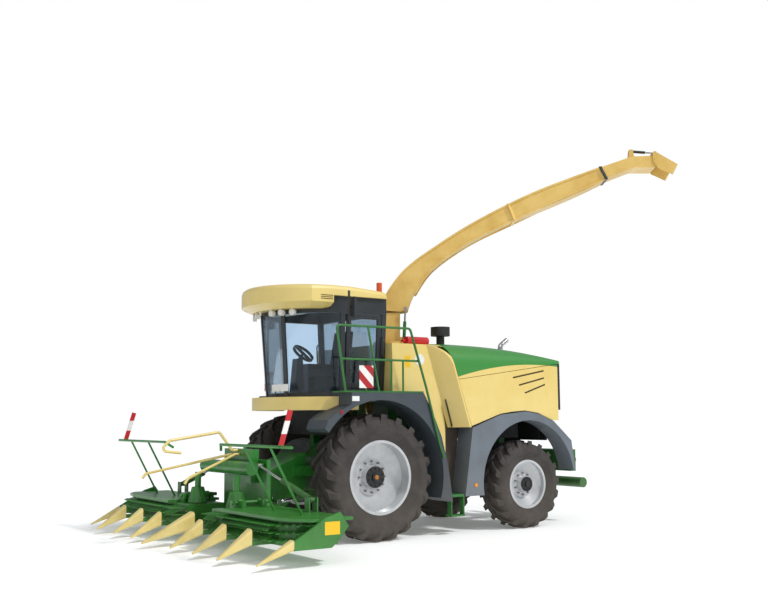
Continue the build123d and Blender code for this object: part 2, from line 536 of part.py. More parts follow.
# valance: the round apron under the windscreen
with BuildPart() as cab_valance:
    with BuildSketch(Plane.XY.offset(VALANCE_Z0)):
        add(cab_outline(VALANCE_R, VALANCE_R * 0.985, VALANCE_END))
        add(cab_outline(VALANCE_R - VALANCE_T, VALANCE_R * 0.985 - VALANCE_T, VALANCE_END - VALANCE_T), mode=Mode.SUBTRACT)
    extrude(amount=CAB_FLOOR_Z0 - VALANCE_Z0)
    with BuildSketch(Plane.XY.offset(VALANCE_Z1)):
        add(cab_outline(VALANCE_R, VALANCE_R * 0.985, VALANCE_END))
    extrude(amount=CAB_FLOOR_Z0 - VALANCE_Z1)
cab_valance.part.label = "cab_valance"
export_step(cab_valance.part, "parts/cab_valance.step")

# driver's seat and steering column
with BuildPart() as driver_seat:
    add(block(SEAT_X - 180, SEAT_X + 180, -SEAT_W / 3, SEAT_W / 3, CAB_FLOOR_Z1, SEAT_Z - 120))
    add(block(SEAT_X - SEAT_W / 2, SEAT_X + SEAT_W / 2, -SEAT_W / 2, SEAT_W / 2, SEAT_Z - 120, SEAT_Z))
    add(side_prism([(SEAT_X - SEAT_W / 2, SEAT_Z), (SEAT_X - SEAT_W / 2 + 120, SEAT_Z),
                    (SEAT_X - SEAT_W / 2 + 20, SEAT_Z + 620), (SEAT_X - SEAT_W / 2 - 60, SEAT_Z + 620)],
                   -SEAT_W / 2 + 30, SEAT_W / 2 - 30))
driver_seat.part.label = "driver_seat"
export_step(driver_seat.part, "parts/driver_seat.step")

with BuildPart() as steering_column:
    add(side_prism([(COLUMN_X - 60, CAB_FLOOR_Z1), (COLUMN_X + 120, CAB_FLOOR_Z1), (COLUMN_X + 60, CAB_FLOOR_Z1 + 560),
                    (COLUMN_X - 40, CAB_FLOOR_Z1 + 560)], -80, 80))
    add(rod((COLUMN_X, 0, CAB_FLOOR_Z1 + 540), (COLUMN_X - 90, 0, CAB_FLOOR_Z1 + 650), 22))
    with BuildSketch(Plane(origin=(COLUMN_X - 90, 0, CAB_FLOOR_Z1 + 650), z_dir=(-90, 0, 110))):
        Circle(WHEEL_R)
        Circle(WHEEL_R - 26, mode=Mode.SUBTRACT)
        Rectangle(2 * WHEEL_R - 26, 40)
    extrude(amount=20, both=True)
    add(block(FX - 200, FX + 260, -SEAT_W / 2 - 260, -SEAT_W / 2 - 30, CAB_FLOOR_Z1, SEAT_Z + 100))
steering_column.part.label = "steering_column"
export_step(steering_column.part, "parts/steering_column.step")

# front fenders: flat-topped blocks with a round arch
fender_outline = [(FX + 930, 1730), (FX + 860, 1960), (FX + 700, FENDER_TOP), (FX - 820, FENDER_TOP), (FX - 900, 2130),
                  (FX - 1090, 1660), (FX - 1340, 640), (FX - 1255, 620), (FX - 1255, 900)]
with BuildPart() as front_fenders:
    add(side_prism(fender_outline, FENDER_IN, FENDER_OUT))
    with BuildSketch(Plane.XZ.offset(-FENDER_IN)):
        with Locations((FX, FT_R)):
            Circle(ARCH_FRONT)
    extrude(amount=FENDER_IN - FENDER_OUT, mode=Mode.SUBTRACT)
    with BuildSketch(Plane.XY.offset(VALANCE_Z0 - GAP)):
        add(cab_outline(VALANCE_R + GAP, VALANCE_R * 0.985 + GAP, VALANCE_END - GAP))
    extrude(amount=CAB_FLOOR_Z0 + GAP - VALANCE_Z0 + GAP, mode=Mode.SUBTRACT)
    mirror(about=Plane.XZ)
front_fenders.part.label = "front_fenders"
export_step(front_fenders.part, "parts/front_fenders.step")

# access platform on the left fender, with guard rail, handrail and steps
with BuildPart() as access_platform:
    add(block(FX - 800, FX + 680, PANEL_Y, FENDER_OUT - 10, FENDER_TOP, FENDER_TOP + DECK_T))
    top_z = FENDER_TOP + DECK_T
    add(tube([(FX + 640, 1450, top_z - 10), (FX + 800, 1450, RAIL_TOP), (FX - 560, 1450, RAIL_TOP),
              (FX - 830, 1503, 2320), (FX - 1090, 1503, 1420), (FX - 1165, 1503, 1240)], RAIL_TUBE, 60))
    add(block(FX - 1185, FX - 1140, FENDER_OUT, 1510, 1230, 1270))
    add(rod((FX + 35, 1450, top_z - 10), (FX + 235, 1450, RAIL_TOP), RAIL_TUBE - 2))
    add(rod((FX + 720, 1450, RAIL_MID), (FX - 705, 1450, RAIL_MID), RAIL_TUBE - 2))
    for x in (FX - 200, FX - 420):
        add(rod((x, 1450, top_z - 10), (x, 1450, RAIL_MID), RAIL_TUBE - 4))
    add(block(FX - 1650, FX - 1380, 900, 1400, 600, 640))
    for x in (FX - 1650, FX - 1400):
        add(block(x, x + 20, 1300, 1400, 300, 610))
    add(block(FX - 1650, FX - 1380, 1250, 1410, 290, 320))
access_platform.part.label = "access_platform"
export_step(access_platform.part, "parts/access_platform.step")

def lip_x(z):
    """Station of the hood's front lip at a height."""
    return LIP_X + LIP_RAKE * (z - LIP_Z)


def split_z(x):
    """Height of the line between the hood's top and its sides."""
    return SPLIT_Z - SPLIT_RISE * (x - SPLIT_X)


def lid_pin_plane(x, side):
    """A plane square to a hood lid's hinge line, which runs just under the split line."""
    return Plane(origin=(x, side * (HOOD_Y - SKIN / 2), split_z(x) - GAP - LID_PIN_IN), x_dir=(0, 1, 0),
                 z_dir=(1, 0, -SPLIT_RISE))


def hood_section(x, skin, top, shoulder, crown):
    """Cross section of the hood at a station: upright sides, round shoulders and a shallow crown."""
    half = HOOD_Y - skin
    turn = shoulder * (1 - sqrt(0.5))
    knee = top - skin - crown
    with BuildSketch(Plane(origin=(x, 0, 0), x_dir=(0, 1, 0), z_dir=(1, 0, 0))) as outline:
        with BuildLine():
            Polyline((-half, knee - shoulder), (-half, HOOD_FOOT), (half, HOOD_FOOT), (half, knee - shoulder))
            ThreePointArc((half, knee - shoulder), (half - turn, knee - turn), (half - shoulder, knee))
            ThreePointArc((half - shoulder, knee), (0, top - skin), (shoulder - half, knee))
            ThreePointArc((shoulder - half, knee), (turn - half, knee - turn), (-half, knee - shoulder))
        make_face()
    return outline.sketch


def hood_body(skin):
    """The whole hood under its skin, from ahead of the lip to the closed rear."""
    with BuildPart() as dome:
        add(hood_section(LIP_X + 2 * FLARE_RUN, skin, HOOD_TOP, SHOULDER_R, CROWN))
        add(hood_section(HOOD_MID_X, skin, HOOD_MID_TOP, SHOULDER_R, CROWN))
        add(hood_section(HOOD_END + skin, skin, HOOD_REAR_TOP, REAR_SHOULDER_R, REAR_CROWN))
        loft()
    return dome.part


# mid body: yellow side panels that flare out to the hood's leaning lip
flare_low = LIP_Z
flare_high = PANEL_TOP
with BuildPart() as flare:
    for z in (flare_low, flare_high):
        with BuildSketch(Plane.XY.offset(z)):
            with BuildLine():
                Polyline((lip_x(z) + FLARE_RUN, PANEL_Y), (lip_x(z), HOOD_Y), (lip_x(z) - FLARE_T, HOOD_Y),
                         (lip_x(z) - FLARE_T, HOOD_Y - SKIN), (lip_x(z) + FLARE_RUN - FLARE_T, PANEL_Y - SKIN),
                         (lip_x(z) + FLARE_RUN, PANEL_Y - SKIN), close=True)
            make_face()
    loft(ruled=True)
with BuildPart() as arch_room:
    add(hood_section(LIP_X - FLARE_RUN, 0, HOOD_TOP, SHOULDER_R, CROWN))
    extrude(amount=4 * FLARE_RUN, dir=(1, 0, 0))
    add(block(LIP_X - FLARE_RUN, LIP_X + 3 * FLARE_RUN, -HOOD_Y, HOOD_Y, 0, HOOD_FOOT))
flare_trim = flare.part & arch_room.part
lip_wall = side_prism([(lip_x(z) - back, z) for z, back in (
    (PANEL_TOP - SKIN, FLARE_T), (PANEL_TOP - SKIN, 0), (HOOD_TOP, 0), (HOOD_TOP, FLARE_T))], -HOOD_Y, HOOD_Y) & arch_room.part
LID_FRONT = (LIP_X + LIP_RAKE * (SPLIT_Z + SPLIT_RISE * SPLIT_X - LIP_Z) - FLARE_T - GAP) / (1 + LIP_RAKE * SPLIT_RISE)

upper_panel = [(FX - 460, 2250), (lip_x(2250) + FLARE_RUN + 10, 2250), (lip_x(LIP_Z) + FLARE_RUN + 10, LIP_Z),
               (lip_x(LIP_Z) + FLARE_RUN - 10, LIP_Z), (lip_x(PANEL_TOP) + FLARE_RUN - 10, PANEL_TOP), (FX - 460, PANEL_TOP)]
lower_panel = [(FX - 910, 2260), (FX - 910, 2140), (FX - 1100, 1660), (FX - 1352, 640), (FX - 1480, 640),
               (FX - 1480, LIP_Z + 40), (lip_x(2260) + FLARE_RUN - 10, 2260)]
with BuildPart() as side_panels:
    add(flare_trim)
    add(side_prism(upper_panel, PANEL_Y - SKIN, PANEL_Y))
    add(side_prism(lower_panel, PANEL_Y - SKIN, PANEL_Y))
    mirror(about=Plane.XZ)
    add(block(FX - 460, FX - 430, -PANEL_Y, PANEL_Y, FENDER_TOP + SKIN, PANEL_TOP))
    add(block(lip_x(PANEL_TOP) - FLARE_T, FX - 430, -PANEL_Y, PANEL_Y, PANEL_TOP - SKIN, PANEL_TOP))
    add(lip_wall)
    with Locations((TOWER_X, 0, HOOD_TOP)):
        Cylinder(TURN_R + SKIN / 2, 8 * SKIN, mode=Mode.SUBTRACT)
    for side in (1, -1):
        with BuildSketch(lid_pin_plane(LID_FRONT + GAP, side)):
            Circle(LID_PIN_R)
        extrude(amount=-LID_PIN_L)
side_panels.part.label = "side_panels"
export_step(side_panels.part, "parts/side_panels.step")

# fire extinguisher lying in its cradle on the mid body
with BuildPart() as fire_extinguisher:
    add(rod((EXT_X0, EXT_Y, PANEL_TOP + EXT_R), (EXT_X1, EXT_Y, PANEL_TOP + EXT_R), EXT_R))
    add(rod((EXT_X1, EXT_Y, PANEL_TOP + EXT_R), (EXT_X1 + EXT_R, EXT_Y, PANEL_TOP + EXT_R), EXT_R / 3))
    for x in (EXT_X0 + EXT_R, EXT_X1 - 2 * EXT_R):
        add(block(x, x + EXT_R / 2, EXT_Y - EXT_R, EXT_Y + EXT_R, PANEL_TOP, PANEL_TOP + EXT_R / 2))
fire_extinguisher.part.label = "fire_extinguisher"
export_step(fire_extinguisher.part, "parts/fire_extinguisher.step")

# fuel tanks behind the steps
with BuildPart() as fuel_tanks:
    add(block(FX - 1980, FX - 1520, RAIL_OUT, REAR_FENDER_IN, 640, 1480))
    mirror(about=Plane.XZ)
fuel_tanks.part.label = "fuel_tanks"
export_step(fuel_tanks.part, "parts/fuel_tanks.step")

# hood top: a shell with rounded shoulders, cut to the lip in front and to the split line below
with BuildPart() as hood_top:
    add(hood_body(0))
    add(hood_body(SKIN), mode=Mode.SUBTRACT)
    ahead = lip_x(HOOD_FOOT - SKIN) - FLARE_T - GAP
    add(side_prism([(ahead, HOOD_FOOT - SKIN), (lip_x(HOOD_TOP + SKIN) - FLARE_T - GAP, HOOD_TOP + SKIN),
                    (FX, HOOD_TOP + SKIN), (FX, HOOD_FOOT - SKIN)], -HOOD_Y - SKIN, HOOD_Y + SKIN), mode=Mode.SUBTRACT)
    fore = LIP_X + 3 * FLARE_RUN
    add(side_prism([(fore, HOOD_FOOT - SKIN), (fore, split_z(fore)), (HOOD_END - SKIN, split_z(HOOD_END - SKIN)),
                    (HOOD_END - SKIN, HOOD_FOOT - SKIN)], -HOOD_Y - SKIN, HOOD_Y + SKIN), mode=Mode.SUBTRACT)
    with Locations((TOWER_X, 0, HOOD_TOP)):
        Cylinder(TURN_R + SKIN / 2, 8 * SKIN, mode=Mode.SUBTRACT)
    for x, y, radius in ((FX - 1900, 500, 70), (FX - 3170, 600, 45)):
        add(rod((x, y, ENGINE_Z1), (x, y, HOOD_TOP + SKIN), radius + GAP), mode=Mode.SUBTRACT)
hood_top.part.label = "hood_top"
export_step(hood_top.part, "parts/hood_top.step")

# hood sides: lids on two pins at their top corners, with three slits, following the rear arch below
LID_REAR = FX - 3780
side_outline = [(LID_FRONT, split_z(LID_FRONT) - GAP), (LID_REAR, split_z(LID_REAR) - GAP),
                (LID_REAR, 1800), (FX - 3650, 1800), (FX - 3300, 1930), (FX - 3000, 1970), (FX - 2700, 1950),
                (FX - 2440, 1915), (lip_x(1720) - FLARE_T - GAP, 1720)]
with BuildPart() as hood_side_left:
    add(side_prism(side_outline, HOOD_Y - SKIN, HOOD_Y))
    with BuildSketch(Plane.XZ.offset(SKIN - HOOD_Y)):
        for i in range(3):
            with Locations((FX - 2950 - i * 95, 2560 - i * 125)):
                SlotOverall(SLIT_L - i * 70, SLIT_W, rotation=-SLIT_RAKE - i * 3)
    extrude(amount=-SKIN, mode=Mode.SUBTRACT)
    for x in (LID_FRONT, LID_REAR):
        with BuildSketch(lid_pin_plane(x, 1)):
            Circle(LID_PIN_R + FIT)
        extrude(amount=LID_PIN_L + GAP, both=True, mode=Mode.SUBTRACT)
hood_side_left.part.label = "hood_side_left"
export_step(hood_side_left.part, "parts/hood_side_left.step")

with BuildPart() as hood_side_right:
    add(hood_side_left.part.mirror(Plane.XZ))
hood_side_right.part.label = "hood_side_right"
export_step(hood_side_right.part, "parts/hood_side_right.step")

# rear grille closing the hood, with louvre slots and the rear pins of the lids
GRILLE_T, GRILLE_HALF, GRILLE_LOW, LOUVRES = 40, 1050, 1450, 9
grille_top = split_z(HOOD_END + GRILLE_T)
with BuildPart() as rear_grille:
    with BuildSketch(Plane(origin=(HOOD_END, 0, 0), x_dir=(0, 1, 0), z_dir=(1, 0, 0))):
        with BuildLine():
            Polyline((HOOD_Y, grille_top), (-HOOD_Y, grille_top), (-HOOD_Y, 1980), (-GRILLE_HALF, 1980),
                     (-GRILLE_HALF, GRILLE_LOW), (GRILLE_HALF, GRILLE_LOW), (GRILLE_HALF, 1980), (HOOD_Y, 1980), close=True)
        make_face()
        with Locations((0, (grille_top + GRILLE_LOW) / 2)):
            with GridLocations(0, 110, 1, LOUVRES):
                SlotOverall(1.7 * GRILLE_HALF, 45, mode=Mode.SUBTRACT)
    extrude(amount=GRILLE_T)
    for side in (1, -1):
        with BuildSketch(lid_pin_plane(HOOD_END + GRILLE_T, side)):
            Circle(LID_PIN_R)
        extrude(amount=LID_PIN_L + GAP)
rear_grille.part.label = "rear_grille"
export_step(rear_grille.part, "parts/rear_grille.step")

# rear fenders
rear_outline = [(FX - 1660, 600), (FX - 1830, 1690), (FX - 2440, 1900), (FX - 3000, 1955), (FX - 3300, 1915), (FX - 3650, 1785),
                (FX - 4060, 1450), (FX - 4140, 940), (FX - 4070, 940), (FX - 2200, 600)]
with BuildPart() as rear_fenders:
    add(side_prism(rear_outline, REAR_FENDER_IN, REAR_FENDER_OUT))
    with BuildSketch(Plane.XZ.offset(-REAR_FENDER_IN)):
        with Locations((RX, ARCH_REAR_Z)):
            Circle(ARCH_REAR)
    extrude(amount=REAR_FENDER_IN - REAR_FENDER_OUT, mode=Mode.SUBTRACT)
    mirror(about=Plane.XZ)
rear_fenders.part.label = "rear_fenders"
export_step(rear_fenders.part, "parts/rear_fenders.step")

# rear bumper with the tow pin bore
TOW_R, TOW_T, TOW_X = 16, 90, FX - 4720
TAIL_LAMP_Y = 1090
with BuildPart() as rear_bumper:
    add(block(RAIL_REAR - 120, RAIL_REAR, -1150, 1150, 900, 1280))
    add(block(FX - 4560, RAIL_REAR - 60, -500, 500, 600, 900))
    add(rod((FX - 4600, -1150, 690), (FX - 4600, 1150, 690), 90))
    add(block(TOW_X - 50, FX - 4560, -80, 80, 600, 600 + TOW_T))
    with Locations((TOW_X, 0, 600 + TOW_T / 2)):
        Cylinder(TOW_R, TOW_T, mode=Mode.SUBTRACT)
rear_bumper.part.label = "rear_bumper"
export_step(rear_bumper.part, "parts/rear_bumper.step")

# air intake, exhaust, lamps, mirrors
with BuildPart() as air_intake:
    add(rod((FX - 1900, 500, ENGINE_Z1), (FX - 1900, 500, 3260), 70))
    add(rod((FX - 1900, 500, 3250), (FX - 1900, 500, 3405), 165))
air_intake.part.label = "air_intake"
export_step(air_intake.part, "parts/air_intake.step")

with BuildPart() as exhaust_pipe:
    add(tube([(FX - 3170, 600, ENGINE_Z1), (FX - 3170, 600, 3120), (FX - 3330, 600, 3230)], 45, 90))
exhaust_pipe.part.label = "exhaust_pipe"
export_step(exhaust_pipe.part, "parts/exhaust_pipe.step")

with BuildPart() as lamps:
    for turn in LAMP_TURNS:
        for a in (radians(turn), -radians(turn)):
            near = (CAB_X + (LAMP_RING - LAMP_L) * cos(a), (LAMP_RING - LAMP_L) * sin(a), RING_Z1 - LAMP_R)
            far = (CAB_X + LAMP_RING * cos(a), LAMP_RING * sin(a), RING_Z1 - LAMP_R)
            stem = (CAB_X + (LAMP_RING - LAMP_L / 2) * cos(a), (LAMP_RING - LAMP_L / 2) * sin(a), RING_Z1 - LAMP_R)
            add(rod(near, far, LAMP_R - 2))
            add(rod(stem, (stem[0], stem[1], RING_Z1), LAMP_R / 3))
    for y in (BEACON_Y, -BEACON_Y):
        add(rod((BEACON_X, y, ROOF_SKIRT_Z + BEACON_R), (BEACON_X, y, ROOF_SKIRT_Z + BEACON_R + 2 * BEACON_H), BEACON_R))
    for y in (TAIL_LAMP_Y, -TAIL_LAMP_Y):
        add(rod((RAIL_REAR - 140, y, 1100), (RAIL_REAR - 120, y, 1100), 55))
lamps.part.label = "lamps"
export_step(lamps.part, "parts/lamps.step")

with BuildPart() as mirrors:
    for side, foot in ((1, FENDER_TOP + DECK_T), (-1, FENDER_TOP)):
        add(rod((FX + 480, side * 1300, foot), (FX + 480, side * 1300, 3800), 18))
        add(block(FX + 400, FX + 440, side * 1200, side * 1400, 3400, 3700))
        add(rod((FX + 480, side * 1300, 3550), (FX + 420, side * 1300, 3550), 14))
mirrors.part.label = "mirrors"
export_step(mirrors.part, "parts/mirrors.step")

# spout
SWING = radians(SPOUT_SWING)
SPOUT_DIR = Vector(-cos(SWING), sin(SWING), 0)
SPOUT_SIDE = Vector(sin(SWING), cos(SWING), 0)


def spout_plane(offset):
    """The upright plane along the spout, offset to one side."""
    return Plane(origin=Vector(TOWER_X, 0, 0) + SPOUT_SIDE * offset, x_dir=SPOUT_DIR, z_dir=SPOUT_SIDE)


def at_spout(u, z, offset=0):
    """A point given along the spout."""
    return tuple(Vector(TOWER_X, 0, z) + SPOUT_DIR * u + SPOUT_SIDE * offset)


def spout_plate(points, low, high):
    """A plate in the spout's plane between two offsets."""
    with BuildPart() as plate:
        with BuildSketch(spout_plane(low)):
            with BuildLine():
                Polyline(*points, close=True)
            make_face()
        extrude(amount=high - low)
    return plate.part


with BuildPart() as spout_base:
    with Locations((TOWER_X, 0, (TURN_Z0 + TURN_Z1) / 2)):
        Cylinder(TURN_R, TURN_Z1 - TURN_Z0)
    with Locations((TOWER_X, 0, TURN_Z0 - (SPIGOT_DEEP - GAP) / 2 + 1)):
        Cylinder(SPIGOT_R - FIT, SPIGOT_DEEP - GAP)
    add(spout_plate([(BASE_U0, TURN_Z1 - 10), (BASE_U1, TURN_Z1 - 10), (BASE_U1, BASE_TOP), (BASE_U0, BASE_TOP)], -BASE_W / 2, BASE_W / 2))
    for low in (-BASE_W / 2, BASE_W / 2 - 20):
        add(spout_plate([(BASE_U0, BASE_TOP - 20), (LIFT_U + LIFT_EAR, BASE_TOP - 20), (LIFT_U + LIFT_EAR, LIFT_Z + 20),
                         (LIFT_U, LIFT_Z + LIFT_EAR), (LIFT_U - LIFT_EAR, LIFT_Z + 20)], low, low + 20))
    add(rod(at_spout(LIFT_U, LIFT_Z, -SPOUT_W / 2 - 15), at_spout(LIFT_U, LIFT_Z, SPOUT_W / 2 + 15), LIFT_PIN_R))
    add(spout_plate([(BASE_U1 - 10, 3170), (EYE_LOW_U + 10, 3170), (EYE_LOW_U + 10, 3230), (BASE_U1 - 10, 3230)], -180, 180))
    add(rod(at_spout(EYE_LOW_U, EYE_LOW_Z, -SPOUT_CYL_OFF - 24), at_spout(EYE_LOW_U, EYE_LOW_Z, SPOUT_CYL_OFF + 24), SPOUT_PIN_R))
spout_base.part.label = "spout_base"
export_step(spout_base.part, "parts/spout_base.step")

TOP_LINE = [(-117, 3878), (211, 4324), (868, 4822), (2256, 5594), (3800, 6192)]
LOW_LINE = [(3813, 5975), (2249, 5279), (1211, 4757), (691, 4354), (361, 3857)]
with BuildPart() as spout_arm:
    with BuildSketch(spout_plane(-SPOUT_W / 2)):
        with BuildLine():
            Spline(*TOP_LINE)
            Polyline(TOP_LINE[-1], (4200, 6330), (4600, 6340), (4600, 6130), (4239, 6137), LOW_LINE[0])
            Spline(*LOW_LINE)
            Polyline(LOW_LINE[-1], (300, 3680), (150, 3660), (-230, 3690), (-230, 3760), TOP_LINE[0])
        make_face()
    extrude(amount=SPOUT_W)
    with BuildSketch(spout_plane(-SPOUT_W / 2 + SPOUT_WALL)):
        with BuildLine():
            Spline(*[(u + 9, z - 9) for u, z in TOP_LINE])
            Polyline((3809, 6183), (4203, 6318), (4650, 6328), (4650, 6142), (4236, 6149), (3808, 5986))
            Spline(*[(u - 5, z + 11) for u, z in LOW_LINE])
            Polyline((356, 3868), (250, 3500), (-300, 3500), (-300, 3740), (-108, 3869))
        make_face()
    extrude(amount=SPOUT_W - 2 * SPOUT_WALL, mode=Mode.SUBTRACT)
    with BuildSketch(spout_plane(-SPOUT_W)):
        with Locations((LIFT_U, LIFT_Z)):
            Circle(LIFT_PIN_R + FIT)
    extrude(amount=2 * SPOUT_W, mode=Mode.SUBTRACT)
    add(rod(at_spout(EYE_HIGH_U, EYE_HIGH_Z, SPOUT_W / 2 - 6), at_spout(EYE_HIGH_U, EYE_HIGH_Z, SPOUT_CYL_OFF - SPOUT_EYE_W / 2 - OPEN_GAP), SPOUT_PIN_R))
    add(rod(at_spout(EYE_HIGH_U, EYE_HIGH_Z, 6 - SPOUT_W / 2), at_spout(EYE_HIGH_U, EYE_HIGH_Z, SPOUT_EYE_W / 2 + OPEN_GAP - SPOUT_CYL_OFF), SPOUT_PIN_R))
    for low in (-50, 30):
        add(spout_plate([(4180, 6310), (4290, 6320), (4265, 6500), (4205, 6500)], low, low + 20))
    add(rod(at_spout(FLAP_CYL_U, FLAP_CYL_Z, -40), at_spout(FLAP_CYL_U, FLAP_CYL_Z, 40), 10))
    add(rod(at_spout(FLAP_U, FLAP_Z, SPOUT_W / 2 - 6), at_spout(FLAP_U, FLAP_Z, SPOUT_W / 2 + GAP + 18), FLAP_PIN_R))
    add(rod(at_spout(FLAP_U, FLAP_Z, 6 - SPOUT_W / 2), at_spout(FLAP_U, FLAP_Z, -SPOUT_W / 2 - GAP - 18), FLAP_PIN_R))
spout_arm.part.label = "spout_arm"
export_step(spout_arm.part, "parts/spout_arm.step")

# end flap: a hood hinged across the mouth of the spout
with BuildPart() as spout_flap:
    add(spout_plate([(4560, 6250), (4560, 6390), (4640, 6390), (4985, 6180), (4890, 6000), (4640, 6120)], SPOUT_W / 2 + GAP, SPOUT_W / 2 + GAP + 10))
    add(spout_plate([(4560, 6250), (4560, 6390), (4640, 6390), (4985, 6180), (4890, 6000), (4640, 6120)], -SPOUT_W / 2 - GAP - 10, -SPOUT_W / 2 - GAP))
    add(spout_plate([(4560, 6380), (4560, 6390), (4640, 6390), (4985, 6180), (4980, 6171), (4637, 6380)], -SPOUT_W / 2 - GAP, SPOUT_W / 2 + GAP))
    with BuildSketch(spout_plane(-SPOUT_W)):
        with Locations((FLAP_U, FLAP_Z)):
            Circle(FLAP_PIN_R + FIT)
    extrude(amount=2 * SPOUT_W, mode=Mode.SUBTRACT)
    for low in (-50, 30):
        add(spout_plate([(4620, 6380), (4690, 6350), (4675, 6465), (4625, 6465)], low, low + 20))
    for low in (-58, 30):
        add(rod(at_spout(FLAP_EYE_U, FLAP_EYE_Z, low), at_spout(FLAP_EYE_U, FLAP_EYE_Z, low + 28), 10))
spout_flap.part.label = "spout_flap"
export_step(spout_flap.part, "parts/spout_flap.step")


def ram(start, end, side, radius, rod_radius, barrel, inner, pin, width, loose=0):
    """A cylinder between two pins: barrel with its eye, and the rod with a boss, bored over its pin where loose."""
    foot = Vector(*start)
    far = Vector(*end)
    across = Vector(*side)
    along = (far - foot).normalized()
    with BuildPart() as body:
        add(rod(tuple(foot + along * (pin + 12)), tuple(foot + along * barrel), radius))
        add(rod(tuple(foot - across * (width / 2)), tuple(foot + across * (width / 2)), pin + 16))
        add(rod(tuple(foot - across * width), tuple(foot + across * width), pin + FIT), mode=Mode.SUBTRACT)
        add(rod(tuple(foot + along * (2 * pin + 30)), tuple(foot + along * (barrel + 1)), rod_radius + FIT),
            mode=Mode.SUBTRACT)
    with BuildPart() as plunger:
        add(rod(tuple(foot + along * inner), tuple(far - along * (pin + 8)), rod_radius))
        add(rod(tuple(far - across * (width / 2)), tuple(far + across * (width / 2)), pin + BOSS_T + loose))
        if loose:
            add(rod(tuple(far - across * width), tuple(far + across * width), pin + loose), mode=Mode.SUBTRACT)
    return body.part, plunger.part


# spout lift cylinders, one on each side of the base
side_axis = tuple(SPOUT_SIDE)
lift_rams = [ram(at_spout(EYE_LOW_U, EYE_LOW_Z, y), at_spout(EYE_HIGH_U, EYE_HIGH_Z, y), side_axis, SPOUT_CYL_R, SPOUT_ROD_R, 284, 250, SPOUT_PIN_R, SPOUT_EYE_W)
             for y in (SPOUT_CYL_OFF, -SPOUT_CYL_OFF)]
with BuildPart() as spout_lift_barrels:
    for body, plunger in lift_rams:
        add(body)
spout_lift_barrels.part.label = "spout_lift_barrels"
export_step(spout_lift_barrels.part, "parts/spout_lift_barrels.step")

with BuildPart() as spout_lift_rods:
    for body, plunger in lift_rams:
        add(plunger)
spout_lift_rods.part.label = "spout_lift_rods"
export_step(spout_lift_rods.part, "parts/spout_lift_rods.step")

# flap cylinder on top of the spout's end
flap_body, flap_plunger = ram(at_spout(FLAP_CYL_U, FLAP_CYL_Z), at_spout(FLAP_EYE_U, FLAP_EYE_Z), side_axis, FLAP_CYL_R, FLAP_ROD_R, 250, 125, 10, 44)
with BuildPart() as flap_barrel:
    add(flap_body)
flap_barrel.part.label = "flap_barrel"
export_step(flap_barrel.part, "parts/flap_barrel.step")

with BuildPart() as flap_rod:
    add(flap_plunger)
flap_rod.part.label = "flap_rod"
export_step(flap_rod.part, "parts/flap_rod.step")

# feeder house hung on the pivot tube ahead of the front axle
FEED_HALF, FEED_BACK, FEED_FRONT = 360, FX + 690, FX + 1500
with BuildPart() as feeder_house:
    add(side_prism([(FEED_BACK, 780), (FEED_BACK, 1320), (FEED_FRONT, 1000), (FEED_FRONT, 300), (FX + 1350, 300)], -FEED_HALF, FEED_HALF))
    for y in (FEED_HALF + 60, -FEED_HALF - 60):
        add(eye((FEED_PIVOT_X, y, FEED_PIVOT_Z), (0, 1, 0), FEED_EAR_R, FEED_PIVOT_R + FIT, FEED_EAR_T))
    for y in (FEED_HALF + 30, -FEED_HALF - 90):
        add(block(FEED_PIVOT_X + FEED_EAR_R - 20, FEED_BACK + 200, y, y + FEED_EAR_T, FEED_PIVOT_Z - 80, FEED_PIVOT_Z + 80))
    for y in (FEED_HALF - 10, -FEED_HALF - 40):
        add(block(FEED_BACK + 20, FEED_BACK + 200, y, y + 50, FEED_PIVOT_Z - 80, FEED_PIVOT_Z + 80))
    add(rod((HLIFT_X1, -HLIFT_Y - 45, HLIFT_Z1), (HLIFT_X1, HLIFT_Y + 45, HLIFT_Z1), PIN_R))
feeder_house.part.label = "feeder_house"
export_step(feeder_house.part, "parts/feeder_house.step")

header_rams = [ram((HLIFT_X0, y, HLIFT_Z0), (HLIFT_X1, y, HLIFT_Z1), (0, 1, 0), HLIFT_CYL_R, HLIFT_ROD_R, HLIFT_CYL_L, 220, PIN_R, 60, EYE_LOOSE)
               for y in (HLIFT_Y, -HLIFT_Y)]
with BuildPart() as header_lift_barrels:
    for body, plunger in header_rams:
        add(body)
header_lift_barrels.part.label = "header_lift_barrels"
export_step(header_lift_barrels.part, "parts/header_lift_barrels.step")

with BuildPart() as header_lift_rods:
    for body, plunger in header_rams:
        add(plunger)
header_lift_rods.part.label = "header_lift_rods"
export_step(header_lift_rods.part, "parts/header_lift_rods.step")

CORE_X0, CORE_X1, COVER_T = FX + 1600, FX + 2300, 40
CENTRE_HALF, WING_IN, WING_OUT, END_R = HINGE_Y - 40, HINGE_Y + 40, 2800, 350


def comb(y_start, y_end, round_end):
    """Flat outline of one tine layer: a straight run of raked teeth, then round the outer end."""
    straight = y_end - y_start - (END_R if round_end else 0)
    length = straight + (END_R * pi / 2 if round_end else 0)

    def spot(s, out, side):
        turn = max(0.0, (s - straight) / END_R)
        along = min(s, straight)
        x = DECK_FRONT - END_R + END_R * cos(turn) + out * cos(turn) - side * sin(turn)
        y = y_start + along + END_R * sin(turn) + out * sin(turn) + side * cos(turn)
        return (x, y)

    count = int(length / TINE_PITCH)
    points = [(CORE_X1 - 200, y_start), (DECK_FRONT, y_start)]
    for i in range(count):
        s = (i + 0.25) * length / count
        points += [spot(s, 0, 0), spot(s, TINE_REACH, TINE_LEAN), spot(s, TINE_REACH, TINE_LEAN + 22), spot(s + TINE_PITCH * 0.5, 0, 0)]
    end = spot(length, 0, 0)
    if round_end:
        points += [end, (end[0] - 30, end[1] - 120), (CORE_X1 - 200, y_end - 480)]
    else:
        points += [end, (CORE_X1 - 200, y_end)]
    return points


